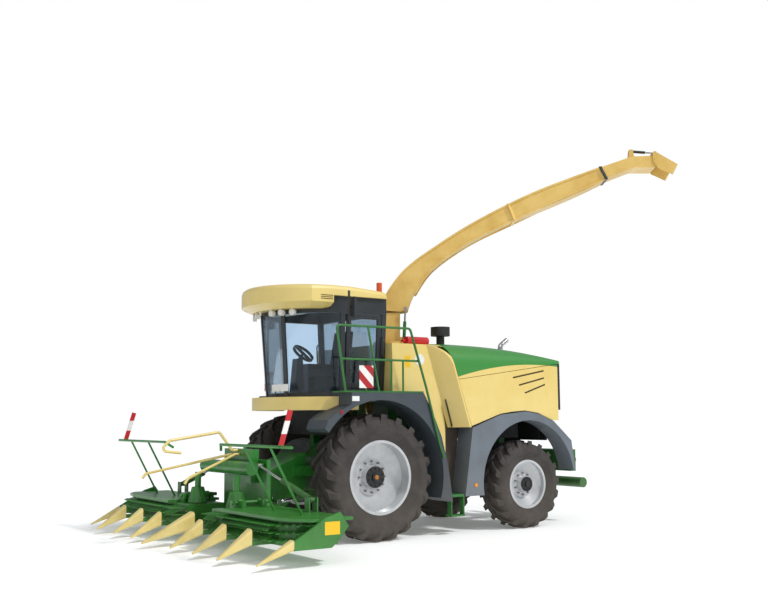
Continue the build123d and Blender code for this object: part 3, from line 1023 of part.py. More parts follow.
def snout(y, base_x, tip_x, height, width, low):
    """A pointed crop divider, from its square base down to the tip near the ground."""
    with BuildPart() as point:
        with BuildSketch(Plane(origin=(base_x, y, low + height / 2), x_dir=(0, 1, 0), z_dir=(1, 0, 0))):
            RectangleRounded(width, height, width / 4)
        with BuildSketch(Plane(origin=(tip_x, y, TIP_Z), x_dir=(0, 1, 0), z_dir=(1, 0, 0))):
            RectangleRounded(width / 6, width / 7, width / 24)
        loft()
    return point.part


# header centre: back frame, deck, tower, cross hood, cone pins and wing hinges
with BuildPart() as header_frame:
    add(block(FEED_FRONT, FX + 1560, -CENTRE_HALF + 140, CENTRE_HALF - 140, 300, 1250))
    add(block(FX + 1555, CORE_X1, -CENTRE_HALF, CENTRE_HALF, DECK_Z0, 300))
    add(block(FX + 1700, CORE_X1, 420, CENTRE_HALF, 300, DECK_Z1))
    add(block(FX + 1700, CORE_X1, -CENTRE_HALF, -420, 300, DECK_Z1))
    add(block(FX + 1555, FX + 1690, -450, 450, 900, 1400))
    add(rod((FX + 1850, -800, 1130), (FX + 1850, 800, 1130), 100))
    for y in (-440, 380):
        add(block(FX + 1600, FX + 1850, y, y + 60, 1060, 1200))
    for z in TINE_LAYERS:
        add(plan_prism(comb(450, CENTRE_HALF, False), z, z + TINE_T))
        add(plan_prism(comb(450, CENTRE_HALF, False), z, z + TINE_T).mirror(Plane.XZ))
    for y in (CONE_Y, -CONE_Y):
        add(rod((CONE_X, y, DECK_Z1 - 20), (CONE_X, y, DECK_Z1 + 160), 30))
    for side in (1, -1):
        add(rod((FX + 1610, side * HINGE_Y, HINGE_Z), (FX + 2230, side * HINGE_Y, HINGE_Z), HINGE_R))
        for x in (FX + 1710, FX + 2190):
            add(block(x - 20, x + 20, side * (HINGE_Y - 80), side * (HINGE_Y + 30), DECK_Z1 - 20, HINGE_Z + 35))
        for x in (FOLD_X - 56, FOLD_X + 36):
            add(block(x, x + 20, side * 430, side * (FOLD_EYE_Y + 35), FOLD_EYE_Z - 45, FOLD_EYE_Z + 35))
        for x in (FOLD_X - 64, FOLD_X + 36):
            add(rod((x, side * FOLD_EYE_Y, FOLD_EYE_Z), (x + 28, side * FOLD_EYE_Y, FOLD_EYE_Z), PIN_R))
    for y in (-ROW, 0, ROW):
        add(block(CORE_X1 - 40, (CENTRE_BASE if y == 0 else SNOUT_BASE) + 30, y - 30, y + 30, DECK_Z0 + 5, 295))
header_frame.part.label = "header_frame"
export_step(header_frame.part, "parts/header_frame.step")

# yellow guides of the centre: three dividers, the crop pusher and two guide tubes
with BuildPart() as centre_guides:
    for y in (-ROW, ROW):
        add(snout(y, SNOUT_BASE + 30, TIP_X, SNOUT_H, SNOUT_W, DECK_Z0 + 5))
    add(snout(0, CENTRE_BASE + 30, CENTRE_TIP, SNOUT_H * 1.2, SNOUT_W * 1.3, DECK_Z0 + 5))
    add(tube([(FX + 1690, 0, 1380), (FX + 1780, 0, 1380), (FX + 2000, 0, 1660), (FX + 2800, 0, 1545), (FX + 2960, 0, 1400), (FX + 2620, 0, 1360)], 22, 50))
    for side in (1, -1):
        add(tube([(FX + 1690, side * 60, 1320), (FX + 1760, side * 60, 1320), (FX + 2850, side * 790, 1030), (FX + 2900, side * 800, 960)], 20, 40))
centre_guides.part.label = "centre_guides"
export_step(centre_guides.part, "parts/centre_guides.step")

# left wing: core, cover, tine layers, end panel, crop guard with marker, hinge eyes
with BuildPart() as wing_left:
    add(plan_prism([(CORE_X0, WING_IN), (CORE_X1, WING_IN), (CORE_X1, 2450), (CORE_X1 - 120, 2680), (CORE_X1 - 320, 2770), (CORE_X0, 2770)], DECK_Z0, DECK_Z1))
    add(plan_prism([(CORE_X0 - 60, WING_IN), (FX + 2420, WING_IN), (FX + 2400, 2500), (FX + 2330, 2800), (FX + 2150, 3040), (CORE_X0 - 60, 3040)], DECK_Z1, DECK_Z1 + COVER_T))
    for z in TINE_LAYERS:
        add(plan_prism(comb(WING_IN + 10, WING_OUT, True), z, z + TINE_T))
    add(side_prism([(FX + 2440, 235), (FX + 2440, 350), (FX + 1968, 617), (FX + 1769, 675), (FX + 1645, 494), (FX + 1769, 342), (FX + 1900, 235)], HEAD_HALF - 45, HEAD_HALF))
    add(block(FX + 1680, FX + 1960, 2760, HEAD_HALF - 40, 400, DECK_Z1))
    for y in POST_Y:
        add(rod((POST_FOOT_X, y, DECK_Z1 + 20), (GUARD_X, y, GUARD_Z), GUARD_R - 4))
    add(rod((GUARD_X, GUARD_Y0, GUARD_Z), (GUARD_X, GUARD_Y1, GUARD_Z), GUARD_R))
    add(rod((GUARD_X, GUARD_Y0 + 10, GUARD_Z), (FX + 2380, 860, 1420), GUARD_R))
    add(side_prism([(GUARD_X + 35, GUARD_Z), (GUARD_X - 35, GUARD_Z - 20), (FX + 2275, 1960), (FX + 2345, 1980)], 2740, 2754))
    for x in (FX + 1780, FX + 2100):
        add(eye((x, HINGE_Y, HINGE_Z), (1, 0, 0), 55, HINGE_R + FIT, 60))
        add(block(x - 30, x + 30, HINGE_Y + 45, HINGE_Y + 160, DECK_Z1 + 10, HINGE_Z + 30))
    for x in (FOLD_X - FOLD_CYL_R - 28, FOLD_X + FOLD_CYL_R + 8):
        add(block(x, x + 20, FOLD_PIN_Y - 60, FOLD_PIN_Y + 60, DECK_Z1 + 10, FOLD_PIN_Z + 35))
    add(rod((FOLD_X - FOLD_CYL_R - 30, FOLD_PIN_Y, FOLD_PIN_Z), (FOLD_X + FOLD_CYL_R + 30, FOLD_PIN_Y, FOLD_PIN_Z), PIN_R))
    for y in (2 * ROW, 3 * ROW):
        add(block(CORE_X1 - 40, SNOUT_BASE + 30, y - 30, y + 30, DECK_Z0 + 5, 295))
wing_left.part.label = "wing_left"
export_step(wing_left.part, "parts/wing_left.step")

with BuildPart() as wing_right:
    add(wing_left.part.mirror(Plane.XZ))
wing_right.part.label = "wing_right"
export_step(wing_right.part, "parts/wing_right.step")

# dividers of the wings: two row snouts and the outer one
with BuildPart() as dividers_left:
    for y in (2 * ROW, 3 * ROW):
        add(snout(y, SNOUT_BASE + 30, TIP_X, SNOUT_H, SNOUT_W, DECK_Z0 + 5))
    add(snout(HEAD_HALF - 75, FX + 2440, OUTER_TIP, SNOUT_H * 0.6, 140, DECK_Z0 + 5))
dividers_left.part.label = "dividers_left"
export_step(dividers_left.part, "parts/dividers_left.step")

with BuildPart() as dividers_right:
    add(dividers_left.part.mirror(Plane.XZ))
dividers_right.part.label = "dividers_right"
export_step(dividers_right.part, "parts/dividers_right.step")

# cones that draw the crop in
with BuildPart() as cone_left:
    with BuildSketch(Plane.XZ.offset(-CONE_Y)):
        with BuildLine():
            Polyline((CONE_X + 30 + FIT, DECK_Z1 + GAP), (CONE_X + CONE_R0, DECK_Z1 + GAP), (CONE_X + CONE_R1, DECK_Z1 + CONE_H),
                     (CONE_X + POST_R, DECK_Z1 + CONE_H), (CONE_X + POST_R, DECK_Z1 + CONE_H + POST_H), (CONE_X, DECK_Z1 + CONE_H + POST_H),
                     (CONE_X, DECK_Z1 + 170), (CONE_X + 30 + FIT, DECK_Z1 + 170), close=True)
        make_face()
    revolve(axis=Axis((CONE_X, CONE_Y, 0), (0, 0, 1)))
cone_left.part.label = "cone_left"
export_step(cone_left.part, "parts/cone_left.step")

with BuildPart() as cone_right:
    add(cone_left.part.mirror(Plane.XZ))
cone_right.part.label = "cone_right"
export_step(cone_right.part, "parts/cone_right.step")

# fold cylinders, barrel on the wing and rod on the centre frame
fold_body, fold_plunger = ram((FOLD_X, FOLD_PIN_Y, FOLD_PIN_Z), (FOLD_X, FOLD_EYE_Y, FOLD_EYE_Z), (1, 0, 0), FOLD_CYL_R, FOLD_ROD_R, FOLD_CYL_L, 780, PIN_R, 60)
with BuildPart() as fold_barrel_left:
    add(fold_body)
fold_barrel_left.part.label = "fold_barrel_left"
export_step(fold_barrel_left.part, "parts/fold_barrel_left.step")

with BuildPart() as fold_rod_left:
    add(fold_plunger)
fold_rod_left.part.label = "fold_rod_left"
export_step(fold_rod_left.part, "parts/fold_rod_left.step")

with BuildPart() as fold_barrel_right:
    add(fold_barrel_left.part.mirror(Plane.XZ))
fold_barrel_right.part.label = "fold_barrel_right"
export_step(fold_barrel_right.part, "parts/fold_barrel_right.step")

with BuildPart() as fold_rod_right:
    add(fold_rod_left.part.mirror(Plane.XZ))
fold_rod_right.part.label = "fold_rod_right"
export_step(fold_rod_right.part, "parts/fold_rod_right.step")
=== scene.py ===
from math import cos, pi, radians, sin

import bpy
import numpy as np
from mathutils import Euler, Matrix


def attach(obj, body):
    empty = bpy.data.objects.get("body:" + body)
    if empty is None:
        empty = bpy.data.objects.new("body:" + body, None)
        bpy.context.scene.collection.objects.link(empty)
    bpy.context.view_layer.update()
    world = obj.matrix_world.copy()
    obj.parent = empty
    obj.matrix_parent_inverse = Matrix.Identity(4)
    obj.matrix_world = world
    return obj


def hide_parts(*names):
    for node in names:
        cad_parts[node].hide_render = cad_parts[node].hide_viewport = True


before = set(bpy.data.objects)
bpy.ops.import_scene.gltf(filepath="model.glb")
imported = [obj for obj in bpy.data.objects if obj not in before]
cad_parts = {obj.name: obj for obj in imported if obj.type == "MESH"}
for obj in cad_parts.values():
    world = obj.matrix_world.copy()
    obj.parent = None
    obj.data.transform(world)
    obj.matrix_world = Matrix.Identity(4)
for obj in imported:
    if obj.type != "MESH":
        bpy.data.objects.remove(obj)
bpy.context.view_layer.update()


# Tyres: moulded rubber carcasses with raked traction lugs, held on the rims by their beads.
# A carcass is a profile turned about its axle; each curved lug runs from the middle out over the shoulder.
def linear(colour):
    """An sRGB hex colour as linear RGBA: each channel c becomes ((c + 0.055) / 1.055) ^ 2.4."""
    srgb = np.array([int(colour[i:i + 2], 16) for i in (1, 3, 5)]) / 255
    flat = np.where(srgb <= 0.04045, srgb / 12.92, ((srgb + 0.055) / 1.055) ** 2.4)
    return (*(float(v) for v in flat), 1.0)


def add(tree, kind, settings=None, links=None):
    """Adds one shader node, sets its fields and sockets, and joins other nodes' outputs to its inputs."""
    made = tree.nodes.new("ShaderNode" + kind)
    for key, value in (settings or {}).items():
        if isinstance(key, int) or key in made.inputs:
            made.inputs[key].default_value = value
        else:
            setattr(made, key, value)
    for key, (source, out) in (links or {}).items():
        tree.links.new(source.outputs[out], made.inputs[key])
    return made


def coated(name, colour, shade, rough=0.35, cloud=0.7, grain=0.004, metal=0.0, coat=0.25, dust="#8F8468",
           low=0.0, lift=0.08):
    """A sprayed, moulded or cast finish: the colour drifts to its shade in clouds of the given size in metres,
    grain of the given size lifts the surface, and field dust gathers towards the ground by the share low."""
    cloud_start, cloud_full = 0.42, 0.72
    dust_top, speck_size, grain_depth = 1.3, 0.06, 0.001
    smoother, rougher, coat_rough = 0.85, 1.25, 0.15
    material = bpy.data.materials.new(name)
    material.use_nodes = True
    tree = material.node_tree
    tree.nodes.clear()
    place = add(tree, "TexCoord")
    clouds = add(tree, "TexNoise", {"Scale": 1 / cloud, "Detail": 4.0, "Roughness": 0.6},
                 {"Vector": (place, "Object")})
    spread = add(tree, "MapRange", {"From Min": cloud_start, "From Max": cloud_full}, {"Value": (clouds, "Fac")})
    body = add(tree, "MixRGB", {"Color1": linear(colour), "Color2": linear(shade)}, {"Fac": (spread, "Result")})
    height = add(tree, "SeparateXYZ", {}, {"Vector": (place, "Object")})
    fall = add(tree, "MapRange", {"From Min": dust_top, "From Max": 0.0, "To Max": low},
               {"Value": (height, "Z")})
    speck = add(tree, "TexNoise", {"Scale": 1 / speck_size, "Detail": 5.0}, {"Vector": (place, "Object")})
    patch = add(tree, "Math", {"operation": "MULTIPLY"}, {0: (fall, "Result"), 1: (speck, "Fac")})
    dusty = add(tree, "MixRGB", {"Color2": linear(dust)}, {"Fac": (patch, "Value"), "Color1": (body, "Color")})
    worn = add(tree, "MapRange", {"To Min": rough * smoother, "To Max": min(1.0, rough * rougher)},
               {"Value": (speck, "Fac")})
    fine = add(tree, "TexNoise", {"Scale": 1 / grain, "Detail": 2.0}, {"Vector": (place, "Object")})
    bump = add(tree, "Bump", {"Strength": lift, "Distance": grain_depth}, {"Height": (fine, "Fac")})
    skin = add(tree, "BsdfPrincipled", {"Metallic": metal, "Coat Weight": coat, "Coat Roughness": coat_rough},
               {"Base Color": (dusty, "Color"), "Roughness": (worn, "Result"), "Normal": (bump, "Normal")})
    add(tree, "OutputMaterial", {}, {"Surface": (skin, "BSDF")})
    return material


def shell(grid, wrap_rows=False, wrap_columns=False):
    """Corners and quads of a surface given as a grid of points, closed along rows or columns where asked."""
    rows, columns = grid.shape[:2]
    i, j = np.meshgrid(np.arange(rows - (not wrap_rows)), np.arange(columns - (not wrap_columns)), indexing="ij")
    k, m = (i + 1) % rows, (j + 1) % columns
    quads = np.stack([i * columns + j, k * columns + j, k * columns + m, i * columns + m], -1).reshape(-1, 4)
    return grid.reshape(-1, 3), [tuple(q) for q in quads.tolist()]


def piece(name, shells, material, body, smooth=False):
    """Joins shells into one mesh object that rides a body."""
    points, faces, start = [], [], 0
    for corners, quads in shells:
        points.append(corners)
        faces += [tuple(start + v for v in quad) for quad in quads]
        start += len(corners)
    mesh = bpy.data.meshes.new(name)
    mesh.from_pydata(np.concatenate(points).tolist(), [], faces)
    mesh.polygons.foreach_set("use_smooth", np.full(len(faces), smooth))
    mesh.materials.append(material)
    mesh.update()
    made = bpy.data.objects.new(name, mesh)
    bpy.context.collection.objects.link(made)
    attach(made, body)
    return made


def middle(node):
    """The middle of a CAD node's box, in the shared frame."""
    return np.array(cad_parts[node].bound_box).mean(0)


def tyre_shells(centre, side, radius, carcass, width, seat, bead, lugs):
    """Carcass: a bead-to-bead profile, half the width times cos^0.55 across and sin^0.6 up, turned about the axle.
    Lug: a trapezium carried from the middle out to the shoulder while it turns back, its top on the outer radius
    until it runs down the side."""
    round_steps, cross_steps, lug_steps = 96, 25, 11
    squareness, fullness, bead_gap = 0.55, 0.6, 0.002
    half = width / 2
    turn = np.linspace(0, 2 * pi, round_steps + 1)[:-1]
    t = np.linspace(0, pi, cross_steps)
    flank = half * np.abs(np.cos(t)) ** squareness * np.sign(-np.cos(t))
    waist = (seat + carcass) / 2
    crown = waist + (carcass - waist) * np.sin(t) ** fullness
    across = np.concatenate([[-bead], flank, [bead]])
    rise = np.concatenate([[seat + bead_gap], crown, [seat + bead_gap]])
    wide = np.broadcast_to(across, (len(turn), len(across)))
    ring = np.stack([np.sin(turn)[:, None] * rise, wide, np.cos(turn)[:, None] * rise], -1)
    shells = [shell(ring, wrap_rows=True)]
    crown_fall, side_fall, side_start = 0.012, 0.11, 0.82
    root_sink, root_fall, root_start = 0.02, 0.13, 0.7
    top_half, top_gain, foot_flare = 0.034, 0.016, 0.016
    mid_gap, edge_gap, rake, rake_bend = 0.02, 0.022, 0.30, 0.85
    s = np.linspace(0, 1, lug_steps)
    high = radius - crown_fall * s ** 2 - side_fall * np.clip(s - side_start, 0, 1) / (1 - side_start)
    deep = carcass - root_sink - root_fall * np.clip(s - root_start, 0, 1) / (1 - root_start)
    top = (top_half + top_gain * s) / radius
    foot = top + foot_flare / radius
    reach = np.stack([deep, high, high, deep], -1)
    for row, first in ((1, 0.0), (-1, 0.5)):
        out = np.broadcast_to((row * (mid_gap + s * (half - edge_gap)))[:, None], reach.shape)
        for i in range(lugs):
            bend = 2 * pi * (i + first) / lugs + pi + rake * s ** rake_bend
            angle = np.stack([bend - foot, bend - top, bend + top, bend + foot], -1)
            bar = np.stack([np.sin(angle) * reach, out, np.cos(angle) * reach], -1)
            corners, faces = shell(bar, wrap_columns=True)
            last = len(corners)
            shells.append((corners, faces + [(0, 1, 2, 3), (last - 1, last - 2, last - 3, last - 4)]))
    return [(corners * (1, side, 1) + centre, faces) for corners, faces in shells]


hands = (("left", 1), ("right", -1))
rubber = coated("tyre rubber", "#383432", "#494440",  # dull brown-black with hardly a highlight, dusty below
                rough=0.82, cloud=0.25, grain=0.003, coat=0.0, dust="#75695A", low=0.4)
for place, radius, carcass, width, seat, bead, lugs in (
    ("front", 0.963, 0.915, 0.616, 0.535, 0.240, 20),
    ("rear", 0.734, 0.694, 0.536, 0.382, 0.205, 18),
):
    for hand, side in hands:
        shells = tyre_shells(middle(f"tyre_{place}_{hand}"), side, radius, carcass, width, seat, bead, lugs)
        tyre = piece(f"tyre_skin_{place}_{hand}", shells, rubber, f"wheel_{place}_{hand}")
        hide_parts(f"tyre_{place}_{hand}")


# Rims: deep dishes pressed from steel plate, welded to their wells and painted silver.
# A ring of zinc-plated hexagon bolts holds each to its hub, whose cast black cover has its own ring of screws.
def dress(material, *nodes):
    """Gives CAD nodes their finish."""
    for name in nodes:
        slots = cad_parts[name].data.materials
        slots.clear()
        slots.append(material)


def swept(path, profile, up=(0, 0, 1)):
    """A closed profile (across, along up) carried square to a path, with both ends capped."""
    path, profile = np.asarray(path, float), np.asarray(profile, float)
    along = np.gradient(path, axis=0)
    along /= np.linalg.norm(along, axis=1, keepdims=True)
    across = np.cross(along, np.asarray(up, float))
    across /= np.linalg.norm(across, axis=1, keepdims=True)
    over = np.cross(across, along)
    grid = path[:, None] + across[:, None] * profile[None, :, :1] + over[:, None] * profile[None, :, 1:]
    points, faces = shell(grid, wrap_columns=True)
    count = len(profile)
    last = (len(path) - 1) * count
    return points, faces + [tuple(range(count)), tuple(range(last + count - 1, last - 1, -1))]


def circle(radius, count=16):
    """A round profile: radius times cosine and sine of equal turns."""
    turn = np.arange(count) * 2 * pi / count
    return np.stack([np.cos(turn), np.sin(turn)], -1) * radius


def studs(centre, out, ring, count, radius, high):
    """Hexagon heads on a circle round the axle: each a six-sided profile carried outwards by its height."""
    turns = np.arange(count) * 2 * pi / count
    seats = [centre + ring * np.array((sin(turn), 0, cos(turn))) for turn in turns]
    return [swept([seat, seat + high * out], circle(radius, 6)) for seat in seats]


silver = coated("silver enamel", "#C9CBCD", "#B0B3B6",  # pale with a little flake, a soft and broad shine
                rough=0.32, cloud=0.3, metal=0.3, coat=0.25, low=0.2)
hub_black = coated("black hub paint", "#1B1B1C", "#2A2928",  # brushed on, dark with a weak shine
                   rough=0.5, cloud=0.1, coat=0.1)
zinc = coated("zinc-plated steel", "#8A8B8C", "#6B6C6D",  # grey metal with small, clouded glints
              rough=0.4, cloud=0.05, metal=0.8, coat=0.0)
plug_orange = coated("orange moulded plug", "#B5742A", "#9C6120",  # one warm, half-dull spot on the hub
                     rough=0.5, cloud=0.05, coat=0.1)
dress(silver, "rim_front_left", "rim_front_right", "rim_rear_left", "rim_rear_right")
bolt_r, bolt_high = 0.016, 0.03
cover_out, cover_thick, boss_share, boss_high = 0.094, 0.022, 0.4, 0.05
screws, screw_share, screw_r, screw_high = 10, 0.78, 0.013, 0.04
plug_r, plug_thick = 0.034, 0.008
for place, face, ring, hub, count in (("front", -0.004, 0.235, 0.165, 12), ("rear", 0.086, 0.180, 0.122, 10)):
    for hand, side in hands:
        wheel, out = f"wheel_{place}_{hand}", np.array((0, side, 0))
        dish = middle(f"tyre_{place}_{hand}") + face * out
        piece(f"wheel_bolts_{place}_{hand}", studs(dish, out, ring, count, bolt_r, bolt_high), zinc, wheel)
        seat = dish + cover_out * out
        cover = [swept([seat, seat + cover_thick * out], circle(hub, 32)),
                 swept([seat, seat + boss_high * out], circle(boss_share * hub, 24))]
        cover += studs(seat, out, screw_share * hub, screws, screw_r, screw_high)
        piece(f"hub_cover_{place}_{hand}", cover, hub_black, wheel)
        if place == "front":
            boss = seat + boss_high * out
            plug = swept([boss, boss + plug_thick * out], circle(plug_r, 20))
            piece(f"hub_plug_{hand}", [plug], plug_orange, wheel)

# Chassis, axles and crop channel: steel plate and tube, welded together and painted, with the cylinders' barrels.
# The engine is one cast block on the frame; the tanks beside it are rotation-moulded and strapped on.
frame_green = coated("dark green enamel", "#256B28", "#1B4F1E",  # half gloss, dulled by dust towards the ground
                     rough=0.45, cloud=0.4, coat=0.15, low=0.5)
dress(frame_green, "main_frame", "front_axle", "rear_axle", "knuckle_left", "knuckle_right", "crop_channel",
      "rear_bumper", "header_lift_barrels", "spout_lift_barrels", "fold_barrel_left", "fold_barrel_right")
cast_iron = coated("cast iron", "#3A3C3E", "#2B2C2D",  # dark and dull, with a trace of metal
                   rough=0.6, cloud=0.3, metal=0.3, coat=0.0)
dress(cast_iron, "engine")
tank_brown = coated("brown polyethylene", "#4A3F35", "#3A3129",  # waxy brown without a clear reflection
                    rough=0.55, cloud=0.5, coat=0.0, low=0.4)
dress(tank_brown, "fuel_tanks")

# Cylinder rods and the exhaust's tip: ground steel rod and bent tube, plated with hard chrome.
# The rods slide in the barrels' seals, and their eyes turn on the pins of what they move.
chrome = coated("hard chrome", "#D5D7DA", "#BFC2C6",  # a mirror with a thin, long highlight
                rough=0.12, cloud=0.4, metal=1.0, coat=0.0)
dress(chrome, "header_lift_rods", "fold_rod_left", "fold_rod_right", "spout_lift_rods", "flap_rod", "exhaust_pipe")

# Cab: posts, door and steering column of welded steel, with the mirrors' arms, bolted to the chassis.
# A moulded valance closes the floor's edge below the screen.
front = middle("tyre_front_left") * (1, 0, 0)  # on the ground below the front axle; places are given from here
yellow = coated("moulded yellow gelcoat", "#E9D183", "#E2C670",  # creamy yellow under an even gloss
                rough=0.34, cloud=0.9, coat=0.3, low=0.1)
post_black = coated("black powder coat", "#2B3033", "#22272A",  # cool black with a fine, half-dull sheen
                    rough=0.45, cloud=0.3, coat=0.1)
dress(yellow, "cab_valance")
dress(post_black, "cab_frame", "cab_door", "steering_column", "mirrors")


# Roof: one glass-fibre skin laid up in a mould, screwed down on the cab's posts.
# Its visor is deep over the screen and shallow behind, where the cab's dark band shows under the edge.
def roof_shell():
    """Rays run from the crown to the plan's rim: along each the height follows a sphere, rounds over the edge,
    drops to the rim's lower edge and comes back under the visor to the ring above the glass."""
    crown, crown_z, dome = np.array((0.5, 0.0)), 3.985, 7.0
    plan, plan_x, half, rear, corner = 1.4, 0.08, 1.06, -0.45, 0.12
    visor_x, step, visor_foot, visor_ring, skirt, lip = 0.6, 0.0005, 3.64, 3.553, 3.752, 0.004
    bend = np.linspace(pi, pi / 2, 7)
    aft = np.stack([rear + corner + corner * np.cos(bend), half - corner + corner * np.sin(bend)], -1)
    bow = np.linspace(np.arcsin(half / plan), 0, 22)
    nose = np.stack([plan_x + plan * np.cos(bow), plan * np.sin(bow)], -1)
    flank = np.array([(0.25, half), (visor_x - step, half), (visor_x + step, half), (0.8, half)])
    near = np.concatenate([[(rear, 0.0), (rear, 0.5)], aft, flank, nose])
    rim = np.concatenate([near, near[-2:0:-1] * (1, -1)])
    fore = rim[:, 0] > visor_x
    share = np.array([0.02, 0.2, 0.4, 0.6, 0.8, 0.9, 0.955, 0.985, 1.0, 1.0, 0.995, 0.82, 0.02])
    rounding = np.array([0, 0, 0, 0, 0, 0, 0, 0.018, 0.055, 0, 0, 0, 0])
    flat = crown + share[:, None, None] * (rim - crown)
    height = crown_z - dome + np.sqrt(dome ** 2 - ((flat - crown) ** 2).sum(-1)) - rounding[:, None]
    height[9] = np.where(fore, visor_foot, skirt)
    height[10] = height[9] - lip
    height[11:] = np.where(fore, visor_ring, skirt)
    grid = np.concatenate([flat, height[..., None]], -1) + front
    corners, faces = shell(grid, wrap_columns=True)
    count = len(rim)
    last = (len(share) - 1) * count
    return corners, faces + [tuple(range(count - 1, -1, -1)), tuple(range(last, last + count))]


roof = piece("roof_skin", [roof_shell()], yellow, "chassis")
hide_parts("cab_roof")


# Roof slits: three air slots moulded into each side of the visor, one above the other.
# They are drawn as dark strips of painted shade, the shade inside the slots, that stand 3 mm off the skin.
def oblong(width, height):
    """A rectangular profile about its middle."""
    return np.array([(-1, -1), (1, -1), (1, 1), (-1, 1)]) * (width / 2, height / 2)


def box(low, high):
    """A block between two corners: a rectangle carried along X."""
    low, high = np.asarray(low, float), np.asarray(high, float)
    core = (low + high) / 2
    ends = [core * (0, 1, 1) + (low[0], 0, 0), core * (0, 1, 1) + (high[0], 0, 0)]
    return swept(ends, oblong(high[1] - low[1], high[2] - low[2]))


def both_sides(low, high):
    """A block on the left between two corners, and its mirror image on the right."""
    flipped = np.stack([low, high]) * (1, -1, 1)
    return [box(low, high), box(flipped.min(0), flipped.max(0))]


slot_shade = coated("shadowed groove", "#4A3A12", "#3A2D0E",  # the brown shade in a slot of the yellow skin
                rough=0.7, cloud=0.1, coat=0.0)
slit_rear, slit_fore, slit_y, slit_proud, slit_half = 0.618, 0.834, 1.059, 0.003, 0.006
slits = []
for level in (3.686, 3.714, 3.742):
    slits += both_sides(front + (slit_rear, slit_y, level - slit_half),
                        front + (slit_fore, slit_y + slit_proud, level + slit_half))
piece("roof_slit_shade", slits, slot_shade, "chassis")

# Number plate: a pressed aluminium plate, enamelled and left blank, at the nose of the valance.
# Two folded steel brackets, screwed to the valance, hold it upright.
plate_white = coated("blank plate white", "#EEF0EE", "#DDE0DE",  # clean white with a smooth shine
                     rough=0.35, cloud=0.1, coat=0.3)
bracket_x, plate_x, plate_thick, bracket_thick, bracket_half = 1.078, 1.088, 0.006, 0.010, 0.012
plate_y, plate_z, bracket_z = (-0.013, 0.507), (2.281, 2.391), (2.148, 2.36)
plate = [box(front + (plate_x, plate_y[0], plate_z[0]), front + (plate_x + plate_thick, plate_y[1], plate_z[1]))]
piece("number_plate_blank", plate, plate_white, "chassis")
brackets = [box(front + (bracket_x, y - bracket_half, bracket_z[0]),
                front + (bracket_x + bracket_thick, y + bracket_half, bracket_z[1])) for y in (0.10, 0.40)]
piece("plate_brackets", brackets, post_black, "chassis")

# Grab handles and door lever: steel rod, bent cold and painted black.
# The handles are bolted to the rear posts; the lever stands off the door's frame and swings with it.
grab_r, lever_r = 0.012, 0.011
grab = front + np.array([(-0.345, 0.975, 2.80), (-0.345, 1.015, 2.83), (-0.345, 1.03, 3.10), (-0.345, 0.995, 3.13)])
grabs = [swept(grab * (1, side, 1), circle(grab_r, 10), up=(1, 0, 0)) for side in (1, -1)]
piece("cab_grab_handles", grabs, post_black, "chassis", smooth=True)
lever = front + np.array([(0.29, 0.957, 2.86), (0.29, 0.992, 2.87), (0.18, 0.994, 2.875), (0.17, 0.96, 2.875)])
piece("door_lever", [swept(lever, circle(lever_r, 10))], post_black, "door", smooth=True)

# Screen posts: narrow channels pressed from steel and painted black, that stand up the bent screen.
# They are bonded outside the glass, one to each side of its middle, and lean out with it.
post_turn, screen_x, post_wide, post_deep = radians(19), 0.08, 0.075, 0.028
foot_z, foot_r, head_z, head_r = 2.20, 0.983, 3.52, 1.085
posts = []
for turn in (post_turn, -post_turn):
    ray = np.array((cos(turn), sin(turn), 0))
    foot = front + (screen_x, 0, foot_z) + foot_r * ray
    head = front + (screen_x, 0, head_z) + head_r * ray
    posts.append(swept([foot, head], oblong(post_wide, post_deep), up=ray))
piece("screen_posts", posts, post_black, "chassis")

# Seat: a squab and a backrest of moulded foam, under a stretched cover of coarse dark grey cloth.
# The weave is drawn 6 mm wide, which is coarser than the cloth's, so that it shows.
seat_cloth = coated("grey seat cloth", "#2E3638", "#262D2F",  # soft and lightless, without a shine
                    rough=0.92, cloud=0.12, grain=0.006, coat=0.0, lift=0.4)
dress(seat_cloth, "driver_seat")

# Cab glass: safety glass, bent for the screen and flat at the sides and in the door, bonded into the posts.
# Its faint blue tint counts once for each face that is looked through, so the colour is nearly white.
# The eye sees straight in, with a thin reflection that grows where the pane turns away.
streak_size, polish, glass_ior, edge_share = 0.5, 0.03, 1.45, 0.6
glass = bpy.data.materials.new("tinted safety glass")
glass.use_nodes = True
pane = glass.node_tree
pane.nodes.clear()
where = add(pane, "TexCoord")
streak = add(pane, "TexNoise", {"Scale": 1 / streak_size, "Detail": 2.0}, {"Vector": (where, "Object")})
tint = add(pane, "MixRGB", {"Color1": linear("#EEF5FB"), "Color2": linear("#E6F0F8")}, {"Fac": (streak, "Fac")})
through = add(pane, "BsdfTransparent", {}, {"Color": (tint, "Color")})
shine = add(pane, "BsdfGlossy", {"Roughness": polish, "Color": linear("#F2F6F7")})
edge = add(pane, "Fresnel", {"IOR": glass_ior})
thin = add(pane, "Math", {"operation": "MULTIPLY", 1: edge_share}, {0: (edge, "Fac")})
both = add(pane, "MixShader", {}, {"Fac": (thin, "Value"), 1: (through, "BSDF"), 2: (shine, "BSDF")})
add(pane, "OutputMaterial", {}, {"Surface": (both, "Shader")})
dress(glass, "cab_glass", "door_glass")

# Mirror glass: float glass silvered on its back and cut to one oblong pane for each side.
# The panes are clipped into the rear faces of the black housings.
silvered = coated("silvered glass", "#E4E8EA", "#D8DDE0",  # a clear mirror of what lies behind the cab
                  rough=0.05, cloud=0.3, metal=1.0, coat=0.0)
mirror_x, mirror_thick, mirror_y, mirror_half, mirror_z = 0.3975, 0.002, 1.30, 0.085, (3.42, 3.68)
panes = both_sides(front + (mirror_x, mirror_y - mirror_half, mirror_z[0]),
                   front + (mirror_x + mirror_thick, mirror_y + mirror_half, mirror_z[1]))
piece("mirror_panes", panes, silvered, "chassis")


